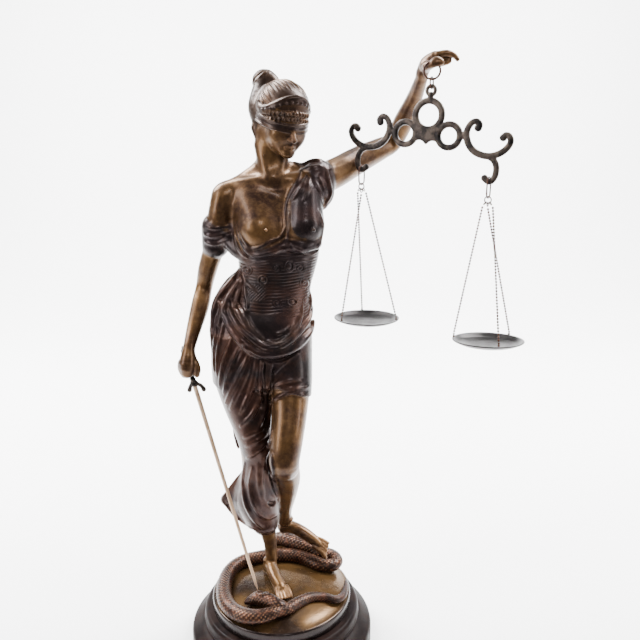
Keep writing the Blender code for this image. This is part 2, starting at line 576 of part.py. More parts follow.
def shape_folds(clay):
    """Folds laid on the cloth, each a drawn line of points on the front of the figure."""
    clay.settle()
    # Shoulder knot, straps and the cloth over the left breast
    for line, wide, high in (
        (((39, 790), (33, 769), (21, 749), (14, 725), (15, 700)), 3.2, 2.6),
        (((47, 779), (39, 760), (28, 746), (21, 738)), 3.4, 2.6),
        (((50, 776), (47, 756), (40, 738)), 3.0, 2.2),
        (((55, 774), (64, 754), (71, 737)), 3.4, 2.8),
        (((62, 776), (72, 756), (75, 738)), 3.2, 2.6),
        (((74, 787), (78, 767), (81, 751), (74, 735)), 3.6, 3.0),
        (((26, 796), (39, 791), (53, 797), (68, 799)), 5.0, 4.0),
        (((36, 784), (50, 787), (68, 791)), 4.0, 3.0),
        (((61, 728), (69, 709), (66, 681), (59, 666)), 3.0, 2.2),
        (((16, 743), (19, 715), (18, 694), (16, 679), (20, 669)), 2.8, 2.4),
        # Swag under the right breast
        (((-60, 702), (-53, 682), (-43, 666), (-30, 660), (-12, 663), (5, 670),
          (14, 685)), 4.6, 4.2),
        (((-56, 700), (-48, 682), (-38, 670), (-26, 671), (-8, 681), (7, 687),
          (14, 703)), 3.2, 3.0),
        (((-63, 694), (-58, 673), (-49, 660), (-40, 654)), 3.4, 3.0),
        (((20, 678), (32, 670), (45, 661)), 3.2, 2.6),
        (((65, 669), (53, 661), (35, 658)), 3.0, 2.4),
        (((-57, 652), (-24, 648), (7, 655)), 3.0, 2.4),
        (((23, 655), (44, 652), (63, 657)), 3.0, 2.4),
        # Band of the sleeve round the right arm
        (((-106, 703), (-91, 700), (-66, 703)), 3.2, 2.6),
        (((-109, 691), (-92, 688), (-67, 696)), 3.4, 2.8),
        (((-108, 680), (-92, 676), (-69, 685)), 3.2, 2.6),
    ):
        clay.fold(line, wide, high, 2.0)
    # Rolled sash
    for line, wide, high in (
        (((-88, 591), (-78, 563), (-65, 539), (-50, 520), (-33, 508),
          (-11, 506), (11, 510), (31, 521), (48, 539), (55, 559)), 8.5, 9.0),
        (((-80, 591), (-67, 563), (-54, 544), (-38, 529), (-22, 518), (-3, 516),
          (17, 527), (34, 543), (48, 563), (52, 583)), 5.5, 8.0),
        (((-73, 594), (-59, 569), (-46, 548), (-32, 534), (-20, 527)), 4.4, 5.0),
        (((-62, 591), (-51, 570), (-43, 551), (-31, 537), (-21, 531)), 4.0, 4.0),
        (((-20, 527), (-3, 523), (12, 532), (28, 548), (36, 570),
          (38, 591)), 4.4, 4.6),
        (((-5, 536), (11, 541), (25, 556)), 3.6, 3.0),
        (((45, 566), (50, 588), (47, 609)), 4.4, 4.0),
        # Bunch of cloth at the right hip
        (((-62, 629), (-76, 611), (-89, 595), (-97, 575), (-101, 550)), 7.0, 6.0),
        (((-56, 623), (-67, 606), (-77, 589), (-85, 569), (-91, 548)), 5.0, 5.5),
        (((-52, 623), (-57, 606), (-63, 588), (-71, 569)), 4.6, 5.0),
        (((-47, 623), (-48, 605), (-45, 588), (-47, 569)), 4.6, 4.4),
        (((-53, 634), (-47, 619), (-37, 609), (-25, 599)), 4.0, 3.6),
    ):
        clay.fold(line, wide, high, 2.5)
    # Long folds of the skirt
    for line, wide, high in (
        (((-97, 572), (-102, 542), (-102, 505)), 4.0, 3.0),
        (((-92, 566), (-96, 536), (-99, 511), (-101, 475)), 4.0, 3.4),
        (((-83, 556), (-88, 536), (-94, 508), (-97, 469)), 3.8, 3.2),
        (((-71, 534), (-78, 511), (-87, 485), (-94, 452)), 4.4, 3.8),
        (((-58, 519), (-68, 497), (-78, 472), (-88, 439)), 4.2, 3.6),
        (((-44, 508), (-54, 485), (-67, 459), (-86, 422)), 4.4, 4.0),
        (((-43, 492), (-53, 467), (-64, 444), (-78, 412)), 4.2, 3.6),
        (((-33, 500), (-40, 461), (-49, 434), (-62, 405)), 4.6, 4.2),
        (((-25, 500), (-27, 462), (-32, 429), (-43, 405), (-63, 383)), 5.0, 5.0),
        (((-16, 498), (-20, 461), (-22, 424), (-27, 397), (-36, 378)), 4.6, 4.6),
        (((-11, 492), (-15, 461), (-17, 422), (-16, 381)), 4.4, 4.4),
        (((31, 507), (17, 497), (0, 482), (-15, 461)), 2.8, 2.2),
        (((10, 479), (-2, 467), (-15, 452)), 3.0, 2.2),
        (((-17, 421), (-6, 431), (10, 439), (30, 447), (52, 452)), 3.6, 3.2),
        (((-17, 442), (-4, 451), (12, 457), (38, 461)), 3.0, 2.6),
        # Lower robe, drawn round the shin
        (((-59, 364), (-41, 373), (-25, 381)), 3.6, 3.0),
        (((-56, 349), (-38, 359), (-20, 371)), 3.6, 3.0),
        (((-55, 328), (-38, 340), (-25, 354), (-15, 369)), 3.8, 3.2),
        (((-11, 381), (-16, 352), (-26, 326), (-31, 290), (-27, 262)), 4.0, 3.6),
        (((-13, 343), (-11, 312), (-5, 278), (-3, 249)), 4.0, 3.6),
        (((-26, 326), (-21, 298), (-15, 272), (-6, 256)), 3.8, 3.4),
        (((-44, 315), (-50, 278), (-42, 242), (-24, 222), (-4, 229)), 4.4, 4.0),
        (((-57, 322), (-61, 285), (-57, 247), (-44, 218), (-28, 201)), 4.4, 4.0),
        (((-35, 322), (-35, 285), (-29, 256), (-16, 240)), 3.8, 3.2),
        (((-65, 301), (-82, 276), (-96, 258)), 3.6, 3.0),
        (((-95, 251), (-82, 233), (-66, 216), (-43, 199)), 3.0, 2.4),
        (((-43, 197), (-25, 196), (-10, 201)), 3.0, 2.6),
    ):
        clay.fold(line, wide, high, 2.5)
    clay.settle()
    # Dark hollows between the folds
    for line, wide, deep in (
        (((-48, 510), (-32, 498), (-10, 494), (10, 498), (34, 511)), 4.0, 4.0),
        (((-54, 523), (-63, 502), (-73, 479)), 3.0, 2.6),
        (((-21, 492), (-23, 459), (-27, 426), (-39, 399)), 2.6, 2.8),
        (((-7, 489), (-11, 456), (-11, 422), (-10, 378)), 2.8, 3.0),
        (((-15, 361), (-19, 326), (-23, 301)), 2.6, 2.4),
        (((-21, 249), (-14, 247), (-7, 249)), 4.0, 5.0),
        (((17, 741), (16, 719), (16, 694)), 1.8, 1.8),
        (((-55, 649), (-57, 634), (-65, 622)), 2.4, 2.4),
    ):
        clay.groove(line, wide, deep, 2.0)
    # Folds of the back
    for k in range(9):
        across = -88 + 17 * k
        line = (
            (across * 0.9 + 4, 545), (across + 2 * (k % 2), 480), (across * 0.82 - 8, 410),
            (across * 0.6 - 14, 345), (across * 0.4 - 18, 280), (across * 0.25 - 22, 225),
        )
        clay.fold(line[:6 if 1 < k < 7 else 4], 6.0, 4.0, 4.0, behind=True)
    for k in range(3):
        up = 545 + 13 * k
        line = ((-98, up + 14), (-60, up - 4), (-20, up - 10), (20, up - 2), (50, up + 12))
        clay.fold(line, 6.5, 6.0, 3.0, behind=True)


def build_clay(step):
    clay = Clay((-165, -135, 58), (262, 135, 962), step)
    shape_head(clay)
    shape_body(clay)
    shape_hands(clay)
    shape_robe(clay)
    shape_ground(clay)
    shape_snake(clay)
    shape_folds(clay)
    return clay


def clear_scene():
    for thing in list(bpy.data.objects):
        bpy.data.objects.remove(thing)


def metal(name, colour, metallic=1.0, roughness=0.35):
    material = bpy.data.materials.new(name)
    material.use_nodes = True
    shader = material.node_tree.nodes["Principled BSDF"]
    shader.inputs["Base Color"].default_value = (*colour, 1.0)
    shader.inputs["Metallic"].default_value = metallic
    shader.inputs["Roughness"].default_value = roughness
    return material


def mesh_object(name, points, faces, material):
    mesh = bpy.data.meshes.new(name)
    mesh.from_pydata([tuple(map(float, p)) for p in points], [], [tuple(map(int, f)) for f in faces])
    mesh.validate()
    if material is not None:
        mesh.materials.append(material)
    thing = bpy.data.objects.new(name, mesh)
    bpy.context.scene.collection.objects.link(thing)
    return thing


def thin_out(thing, wanted):
    count = len(thing.data.polygons)
    slim = thing.modifiers.new("fewer faces", "DECIMATE")
    slim.ratio = min(1.0, wanted / count)
    return thing


def cutter(name, points, faces, target):
    """A hidden body taken out of the target."""
    thing = mesh_object(name, points, faces, None)
    thing.hide_render = True
    thing.display_type = "WIRE"
    cut = target.modifiers.new(name, "BOOLEAN")
    cut.operation = "DIFFERENCE"
    cut.solver = "EXACT"
    cut.object = thing
    return thing


def turned_body(profile, sides, middle=(0.0, 0.0, 0.0)):
    """A body turned round the upright axis from rows of radius, height; ends on the axis."""
    points = []
    faces = []
    rings = []
    for radius, height in profile:
        if radius == 0:
            rings.append([len(points)] * sides)
            points.append((middle[0], middle[1], middle[2] + height))
            continue
        rings.append(list(range(len(points), len(points) + sides)))
        for k in range(sides):
            t = 2 * math.pi * k / sides
            points.append((
                middle[0] + radius * math.cos(t), middle[1] + radius * math.sin(t),
                middle[2] + height,
            ))
    for low, high in zip(rings[:-1], rings[1:]):
        for k in range(sides):
            n = (k + 1) % sides
            if low[0] == low[1]:
                faces.append((low[0], high[n], high[k]))
            elif high[0] == high[1]:
                faces.append((low[k], low[n], high[k]))
            else:
                faces.append((low[k], low[n], high[n], high[k]))
    return points, faces


def tube(path, radius, sides, closed=False, phase=0.0):
    """A bar of so many sides along points; closed ones have no ends."""
    path = np.array(path, float)
    count = len(path)
    if closed:
        along = np.roll(path, -1, 0) - np.roll(path, 1, 0)
    else:
        along = np.gradient(path, axis=0)
    along /= np.linalg.norm(along, axis=1)[:, None]
    spread = np.linalg.svd(path - path.mean(0))[2][-1] if count > 2 else None
    radii = np.broadcast_to(radius, (count,))
    points = []
    for p, go, r in zip(path, along, radii):
        hint = spread if spread is not None else np.array((0.31, 0.95, 0.02))
        out = np.cross(go, hint)
        out /= np.linalg.norm(out)
        other = np.cross(go, out)
        for k in range(sides):
            t = 2 * math.pi * k / sides + phase
            points.append(p + r * (math.cos(t) * out + math.sin(t) * other))
    faces = []
    for i in range(count if closed else count - 1):
        j = (i + 1) % count
        for k in range(sides):
            n = (k + 1) % sides
            faces.append((i * sides + k, i * sides + n, j * sides + n, j * sides + k))
    if not closed:
        faces.append(tuple(range(sides))[::-1])
        faces.append(tuple(range((count - 1) * sides, count * sides)))
    return points, faces


def oval(middle, across, half_wide, half_tall, count):
    """Points of a stadium-like loop in the plane of across and the upright."""
    t = 2 * np.pi * (np.arange(count) + 0.5) / count
    straight = max(half_tall - half_wide, 0.0)
    rise = half_wide * np.sin(t) + np.where(np.sin(t) >= 0, straight, -straight)
    side = half_wide * np.cos(t)
    return np.array(middle) + side[:, None] * np.array(across) + rise[:, None] * np.array((0, 0, 1))


# Where things are, in metres
LIFT = np.array((0.0, 0.0, PLINTH_HEIGHT - 70.0 / drawn(1.0)))


def seen_at(across, up, depth=0.0):
    """The point of at() in metres, on the plinth as it is."""
    return at(across, up, depth) / drawn(1.0) + LIFT


SWORD_GUARD = seen_at(-133, 456, -20)
SWORD_TIP = seen_at(-41, 84, -52)
SWORD_LINE = (SWORD_GUARD - SWORD_TIP) / np.linalg.norm(SWORD_GUARD - SWORD_TIP)
HAND_RING_MIDDLE = seen_at(223, 921, -17)
BEAM_YAW = -math.asin(BEAM_END_BACK / BEAM_HALF_LENGTH)
BEAM_TILT = math.radians(BEAM_TILT_DEGREES)
BEAM_ALONG = np.array((
    math.cos(BEAM_YAW) * math.cos(BEAM_TILT), math.sin(BEAM_YAW) * math.cos(BEAM_TILT),
    -math.sin(BEAM_TILT),
))
BEAM_SIDE = np.array((-math.sin(BEAM_YAW), math.cos(BEAM_YAW), 0.0))
BEAM_UP = np.cross(BEAM_ALONG, BEAM_SIDE)
UP = np.array((0.0, 0.0, 1.0))

# The link hangs in the hand ring, and the eye of the beam hangs in the link
LINK_TOP = HAND_RING_MIDDLE - UP * (HAND_RING_RADIUS - HAND_RING_WIRE - LINK_WIRE - FIT_GAP)
LINK_MIDDLE = LINK_TOP - UP * LINK_HALF_TALL
LINK_LOW = LINK_MIDDLE - UP * LINK_HALF_TALL
EYE_HOLE = EYE_RADIUS - EYE_BAND
BEAM_EYE = LINK_LOW + UP * (LINK_WIRE + FIT_GAP) - BEAM_UP * EYE_HOLE
BEAM_MIDDLE = BEAM_EYE - BEAM_UP * EYE_RISE


def beam_spot(along, up, side=0.0):
    return BEAM_MIDDLE + along * BEAM_ALONG + up * BEAM_UP + side * BEAM_SIDE


def make_plinth():
    r, t, h = PLINTH_RADIUS, PLINTH_TIER_RADIUS, PLINTH_HEIGHT
    d = h * PLINTH_DRUM_SHARE
    e = h / 70
    profile = (
        (0, 0), (r - 3 * e, 0), (r, 3 * e), (r, d - 8 * e), (r - 1.5 * e, d - 3 * e),
        (r - 6 * e, d), (t + 8 * e, d + 8 * e), (t + 3 * e, d + 10 * e), (t + 2 * e, d + 13 * e),
        (t + 4 * e, d + 16 * e), (t + 2 * e, h - 4 * e), (t - 2 * e, h), (0, h),
    )
    points, faces = turned_body(profile, 36)
    wood = metal("plinth_wood", (0.03, 0.018, 0.014), 0.0, 0.35)
    return mesh_object("plinth", points, faces, wood)


def make_figure():
    clay = build_clay(drawn(CLAY_STEP))
    points, faces = clay.surface()
    floor = PLINTH_HEIGHT + FIT_GAP
    points = points * FIGURE_SIZE + LIFT
    points[:, 2] = np.maximum(points[:, 2], floor)
    thing = mesh_object("figure", points, faces, metal("figure_bronze", (0.13, 0.08, 0.05)))
    thin_out(thing, CLAY_FACES)
    wide = DISC_RADIUS * 1.3
    under = -0.4 * PLINTH_HEIGHT
    slab = turned_body(((0, under), (wide, under), (wide, 0), (0, 0)), 24, (0, 0, floor))
    cutter("foot_trim", *slab, thing)
    # The hole for the hilt is as wide as the collar, the grip and the pommel in turn
    for name, low, high, radius in (
        ("collar_hole", -4, 13, COLLAR_RADIUS + 0.0011), ("grip_hole", 11, 49, GRIP_RADIUS + FIT_GAP),
        ("pommel_hole", 46.5, 64, POMMEL_RADIUS + 0.0008),
    ):
        ends = [SWORD_GUARD + SWORD_LINE * along / drawn(1.0) for along in (low, high)]
        cutter(name, *tube(ends, radius, 12), thing)
    loop = oval(HAND_RING_MIDDLE, (1, 0, 0), HAND_RING_RADIUS, HAND_RING_RADIUS, 20)
    ring, ring_faces = tube(loop, HAND_RING_WIRE + FIT_GAP, 6, closed=True)
    cutter("ring_hole", ring, ring_faces, thing)
    deep, out = SWORD_TIP - SWORD_LINE * 12 / drawn(1.0), SWORD_TIP + SWORD_LINE * 16 / drawn(1.0)
    tip, tip_faces = tube((deep, out), 3.4 / drawn(1.0) + FIT_GAP, 8)
    cutter("tip_hole", tip, tip_faces, thing)
    return thing


def make_sword():
    """Blade, guard, grip and pommel as one piece, shaped as clay on its own."""
    guard, go = drawn(SWORD_GUARD - LIFT), SWORD_LINE
    tip = drawn(SWORD_TIP - LIFT)
    low = np.minimum(tip, guard + go * 70) - (14, 10, 4)
    high = np.maximum(tip, guard + go * 70) + (14, 10, 6)
    clay = Clay(low, high, 0.8)
    flat = (np.array((0.0, 1.0, 0.0)), 0.55)
    blade = [(*(tip + go * 1), 1.6), (*(tip + go * 8), 2.4), (*(guard - go * 12), 3.2),
             (*guard, 3.4)]
    clay.limb(blade, 1.0, flat=flat, step=60)
    grip = drawn(GRIP_RADIUS)
    clay.limb([(*guard, grip - 0.3), (*(guard + go * 50), grip - 0.3)], 1.0, step=60)
    pommel, collar = drawn(POMMEL_RADIUS), drawn(COLLAR_RADIUS)
    clay.ball(guard + go * 53, (pommel, pommel, pommel), 1.5)
    clay.ball(guard + go * 59, (2.6, 2.6, 2.6), 1.5)
    clay.ball(guard + go * 1, (6.4, 5.0, 5.6), 2.0)
    clay.ball(guard + go * 8, (collar, collar, 2.4), 2.0)
    for across, up in ((-7.5, -10.0), (14.5, -9.0)):
        arm = [
            (*(guard + go * 1), 3.4), (*(guard + (0.7 * across, 0, 0.25 * up)), 2.8),
            (*(guard + (across, 0, up)), 3.7),
        ]
        clay.limb(arm, 1.2, step=4)
    points, faces = clay.surface()
    brass = metal("sword_brass", (0.45, 0.3, 0.18))
    thing = mesh_object("sword", points * FIGURE_SIZE + LIFT, faces, brass)
    return thin_out(thing, 360)


def scroll_rows(side):
    """Centre lines of one half of the beam, as rows along, up, half width in millimetres."""
    curl = (
        (73.0, -13.0, 4.6), (74.2, -8.5, 3.6), (69.3, -4.8, 3.4), (62.0, -8.5, 3.4),
        (57.5, -21.0, 3.8), (62.5, -36.0, 4.0), (74.0, -46.0, 4.0), (90.0, -49.6, 3.8),
        (104.0, -46.3, 3.8), (114.5, -38.5, 3.7), (119.4, -29.0, 3.4), (116.5, -21.5, 3.3),
        (111.5, -20.5, 3.3), (108.8, -24.0, 4.2),
    )
    hook = (
        (93.0, -50.5, 3.2), (99.5, -54.0, 3.4), (104.4, -62.5, 3.5), (104.6, -74.0, 3.5),
        (100.8, -81.8, 3.4), (95.6, -83.2, 3.3), (90.4, -79.0, 4.0),
    )
    return [[(side * a, u, w) for a, u, w in rows] for rows in (curl, hook)]


def make_beam():
    """Rings, scrolls and hooks of the beam, flat on the front and back."""
    half, size = drawn(BEAM_THICKNESS) / 2, BEAM_SIZE
    clay = Clay((-132 * size, -half - 2, -92 * size), (132 * size, half + 2, 46 * size), 0.9 * size)

    def bar(rows, soft=1.0):
        clay.limb([(a * size, 0, u * size, w * size) for a, u, w in rows], soft, step=3)

    def ring(along, up, radius, wide):
        turn = np.linspace(0, 2 * math.pi, 29)
        bar([(along + radius * math.cos(t), up + radius * math.sin(t), wide) for t in turn])

    ring(0, 0, 19.4, 4.1)
    for side in (-1, 1):
        ring(side * 32.7, -26.4, 15.8, 3.9)
        for rows in scroll_rows(side):
            bar(rows)
        bar([(side * 8, -22, 4.5), (side * 19, -17, 4.0)], 2.0)
        bar([(side * 3, -26, 7), (side * 13, -30, 4.5)], 2.0)
        bar([(0, -34.5, 3.0), (side * 12, -29, 3.0)], 1.5)
        bar([(side * 49, -27, 3.2), (side * 57, -22, 3.6)], 2.0)
    bar([(0, -25, 7.0), (0, -33.5, 4.0), (0, -37.5, 1.8)], 2.0)
    bar([(0, 23.0, 3.6), (0, 27.5, 3.4)], 1.0)
    eye, band, rise = (drawn(length) / size for length in (EYE_RADIUS, EYE_BAND, EYE_RISE))
    turn = np.linspace(0, 2 * math.pi, 25)
    bar([(eye * math.cos(t), rise + eye * math.sin(t), band) for t in turn], 0.6)
    x, y, z = clay.points(np.zeros(3, int), clay.count)
    face = np.abs(y) - half * 0.92
    mix = np.clip(0.5 - 0.5 * (clay.value - face) / 1.2, 0, 1)
    clay.value = clay.value + (face - clay.value) * mix + 1.2 * mix * (1 - mix)
    clay.value = clay.value.astype(np.float32)
    points, faces = clay.surface()
    points = np.array([beam_spot(*p[[0, 2, 1]]) for p in points * FIGURE_SIZE])
    thing = mesh_object("beam", points, faces, metal("beam_pewter", (0.09, 0.075, 0.065)))
    return thin_out(thing, BEAM_FACES)


def make_rings():
    copper = metal("ring_copper", (0.22, 0.12, 0.08))
    loop = oval(HAND_RING_MIDDLE, (1, 0, 0), HAND_RING_RADIUS, HAND_RING_RADIUS, 20)
    mesh_object("hand_ring", *tube(loop, HAND_RING_WIRE, 6, closed=True), copper)
    loop = oval(LINK_MIDDLE, BEAM_SIDE, LINK_HALF_WIDE, LINK_HALF_TALL, 16)
    mesh_object("beam_link", *tube(loop, LINK_WIRE, 6, closed=True), copper)


def hook_seat(side):
    """Middle of a wire that rests in the hook of one side, in metres."""
    reach = BEAM_SIZE / drawn(1.0)
    spot = beam_spot(side * 97.2 * reach, -83.2 * reach)
    return spot + UP * (4.8 * reach + HOOK_RING_WIRE + FIT_GAP)


def upright_across(turn):
    """Level direction that is turned from the beam's side by so many degrees."""
    turn = math.radians(turn)
    across = (BEAM_SIDE * math.cos(turn) + BEAM_ALONG * math.sin(turn)) * (1, 1, 0)
    return across / np.linalg.norm(across)


def make_scale(name, side, turn, lean, drop, feet_degrees, tip):
    """Hook ring, chain ring, three loops, chains, clips and a pan hung from one hook.

    turn swings the hook ring, in degrees; lean moves the pan aside; the chains are fixed to the
    rim at feet_degrees, and tip lowers the far side of the pan, as a slope.
    """
    copper = metal(name + "_copper", (0.2, 0.11, 0.08))
    pewter = metal(name + "_pewter", (0.09, 0.085, 0.08))
    across = upright_across(turn)
    middle = hook_seat(side) - UP * HOOK_RING_HALF_TALL
    loop = oval(middle, across, HOOK_RING_HALF_WIDE, HOOK_RING_HALF_TALL, 14)
    mesh_object("hook_ring_" + name, *tube(loop, HOOK_RING_WIRE, 5, closed=True), copper)
    low = middle - UP * HOOK_RING_HALF_TALL
    top = low + UP * (HOOK_RING_WIRE + CHAIN_RING_WIRE + FIT_GAP)
    centre = top - UP * CHAIN_RING_RADIUS
    other = np.array((-across[1], across[0], 0.0))
    loop = oval(centre, other, CHAIN_RING_RADIUS, CHAIN_RING_RADIUS, 12)
    mesh_object("chain_ring_" + name, *tube(loop, CHAIN_RING_WIRE, 5, closed=True), copper)
    pan = np.array((centre[0] + lean, centre[1], centre[2] - drop))
    make_pan(name, pan, tip, pewter)
    feet = []
    for angle in np.radians(feet_degrees):
        out = np.array((math.cos(angle), math.sin(angle), -tip * math.sin(angle)))
        feet.append(pan + out * (PAN_RADIUS - PAN_RIM / 2))
    feet.sort(key=lambda foot: (foot - pan) @ other)
    reach = CHAIN_RING_RADIUS + CHAIN_LOOP_RADIUS - CHAIN_RING_WIRE - CHAIN_LOOP_WIRE - FIT_GAP
    for k, foot in enumerate(feet):
        swing = math.radians((k - 1) * CHAIN_LOOP_DEGREES)
        out = other * math.sin(swing) - UP * math.cos(swing)
        loop = round_loop(centre + out * reach, out, across, CHAIN_LOOP_RADIUS, 8)
        wire = tube(loop, CHAIN_LOOP_WIRE, 4, closed=True)
        mesh_object(f"chain_loop_{name}_{k + 1}", *wire, copper)
        clip_low = foot + UP * FIT_GAP
        clip_high = clip_low + UP * CLIP_HEIGHT
        mesh_object(f"pan_clip_{name}_{k + 1}", *tube((clip_low, clip_high), CLIP_RADIUS, 6), copper)
        start = reach + CHAIN_LOOP_RADIUS + CHAIN_LOOP_WIRE + CHAIN_RADIUS + FIT_GAP
        end = clip_high + UP * (FIT_GAP + CHAIN_RADIUS / 3)
        chain = tube((end, centre + out * start), CHAIN_RADIUS, 6)
        mesh_object(f"chain_{name}_{k + 1}", *chain, copper)
    return pan


def round_loop(middle, one, two, radius, count):
    """Points of a circle in the plane of two directions."""
    turns = 2 * np.pi * (np.arange(count) + 0.5) / count
    return [middle + radius * (math.cos(t) * one + math.sin(t) * two) for t in turns]


def make_pan(name, middle, tip, material):
    """A shallow dish whose flat rim is at the height of middle and slopes down to the far side."""
    r, d, w = PAN_RADIUS, PAN_DEPTH, PAN_WALL
    profile = (
        (0, -d), (r * 0.45, -d), (r * 0.8, -d * 0.62), (r, -w * 0.9), (r, 0), (r - PAN_RIM, 0),
        (r * 0.77, w - d * 0.62), (r * 0.42, w - d), (0, w - d),
    )
    points, faces = turned_body(profile, 26)
    x, y, z = np.array(points).T
    points = np.stack((x, y + tip * z, z - tip * y), -1) + middle
    return mesh_object("pan_" + name, points, faces, material)


clear_scene()
make_plinth()
make_figure()
make_sword()
make_rings()
make_beam()
make_scale("left", -1, 10, 0.011, LEFT_DROP, LEFT_FEET_DEGREES, 0.0)
make_scale("right", 1, 4, 0.012, RIGHT_DROP, RIGHT_FEET_DEGREES, RIGHT_PAN_SLOPE)
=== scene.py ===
# %% [markdown]
# # A bronze lady justice
#
# This notebook dresses the solids of a statue for a studio picture: a blindfolded woman in bronze
# who stands on a coiled snake, with a sword in one hand and a pair of scales in the other.
# The solids give every size and place. Here each of them gets the surface of the real work: soft
# cloth folds, a ribbed corset, hair, snake skin, bead chains, and a patina that is rubbed bright
# where hands and polishing cloths reach it.

# %% Tools and the solids
import math

import bpy
import mathutils
import numpy as np
import openvdb
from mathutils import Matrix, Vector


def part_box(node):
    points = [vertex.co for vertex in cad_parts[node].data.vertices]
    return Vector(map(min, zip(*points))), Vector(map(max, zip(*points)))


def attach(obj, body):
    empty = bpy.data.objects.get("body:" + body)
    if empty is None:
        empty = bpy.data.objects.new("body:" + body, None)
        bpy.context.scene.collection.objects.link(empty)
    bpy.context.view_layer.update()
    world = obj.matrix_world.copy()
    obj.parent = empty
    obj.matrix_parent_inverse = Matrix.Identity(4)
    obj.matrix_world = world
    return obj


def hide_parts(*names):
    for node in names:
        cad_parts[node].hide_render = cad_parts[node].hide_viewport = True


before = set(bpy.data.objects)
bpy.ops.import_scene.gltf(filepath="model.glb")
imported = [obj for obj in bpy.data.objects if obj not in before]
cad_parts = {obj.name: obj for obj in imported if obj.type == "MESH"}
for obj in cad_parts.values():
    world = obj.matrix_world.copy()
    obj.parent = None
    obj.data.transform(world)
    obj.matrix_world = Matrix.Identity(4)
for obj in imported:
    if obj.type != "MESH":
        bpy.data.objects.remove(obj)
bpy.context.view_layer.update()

# %% [markdown]
# ## The camera
#
# A picture is matched by finding where its camera stood. This one stood a metre in front of the
# statue, as high as its throat, and looked 13.8 degrees down. Every folded edge below is written
# in millimetres as it is seen from there, so the camera is also the sculptor's eye: a drawn point
# is carried along the line of sight until it meets the bronze.

# %% Camera and the sculptor's eye
EYE = np.array((65.0, -1000.0, 805.0))
TO_METRES = 0.001
LENS_SHARE = 670 / 640
LOOK_DOWN = 13.8

camera = bpy.data.objects.new("camera", bpy.data.cameras.new("camera"))
bpy.context.scene.collection.objects.link(camera)
camera.data.sensor_width = 36
camera.data.lens = 36 * LENS_SHARE
camera.data.clip_start = 0.01
camera.location = EYE * TO_METRES
camera.rotation_euler = (math.radians(90 - LOOK_DOWN), 0, 0)
bpy.context.scene.camera = camera


def at(across, up, depth=0.0):
    """The point that is seen at (across, up) on the upright plane and lies depth behind it:
    the eye plus (1 + depth / distance) times the way from the eye to the drawn point."""
    share = 1 + depth / -EYE[1]
    return EYE + (np.array((across, 0.0, up)) - EYE) * share


def rows_at(*rows):
    """Rows of across, up, depth and radius turned into rows of x, y, z and radius."""
    return np.array([(*at(*row[:3]), *row[3:]) for row in rows])


print("lens", round(camera.data.lens, 2), "mm, eye", EYE, "mm")

# %% [markdown]
# ## Clay
#
# A bronze begins as clay, so the figure is shaped the same way. A block of points holds, at each
# point, the distance to the nearest surface: negative inside, positive outside. Adding a limb takes
# the smaller of two distances, and rounding the corner between them gives the soft join of pressed
# clay. Sculpting by moving mesh points would also work, but here hands, folds and toes can run into
# each other with no thought for how their meshes meet. The surface is read out once at the end.

# %% A block of clay
FAR = 30.0


def smooth_path(rows, step=4.0):
    """A curve through the rows: between two of them it is the cubic that passes both with the
    slope from the row before to the row after. Points lie about step apart."""
    rows = np.array(rows, float)
    ends = np.vstack((2 * rows[0] - rows[1], rows, 2 * rows[-1] - rows[-2]))
    parts = []
    for i in range(1, len(ends) - 2):
        a, b, c, d = ends[i - 1:i + 3]
        count = max(1, int(math.ceil(np.linalg.norm((c - b)[:3]) / step)))
        t = (np.arange(count) / count)[:, None]
        bend = (2 * a - 5 * b + 4 * c - d) * t**2 + (3 * b - a - 3 * c + d) * t**3
        parts.append(0.5 * (2 * b + (c - a) * t + bend))
    parts.append(rows[-1:])
    return np.vstack(parts)


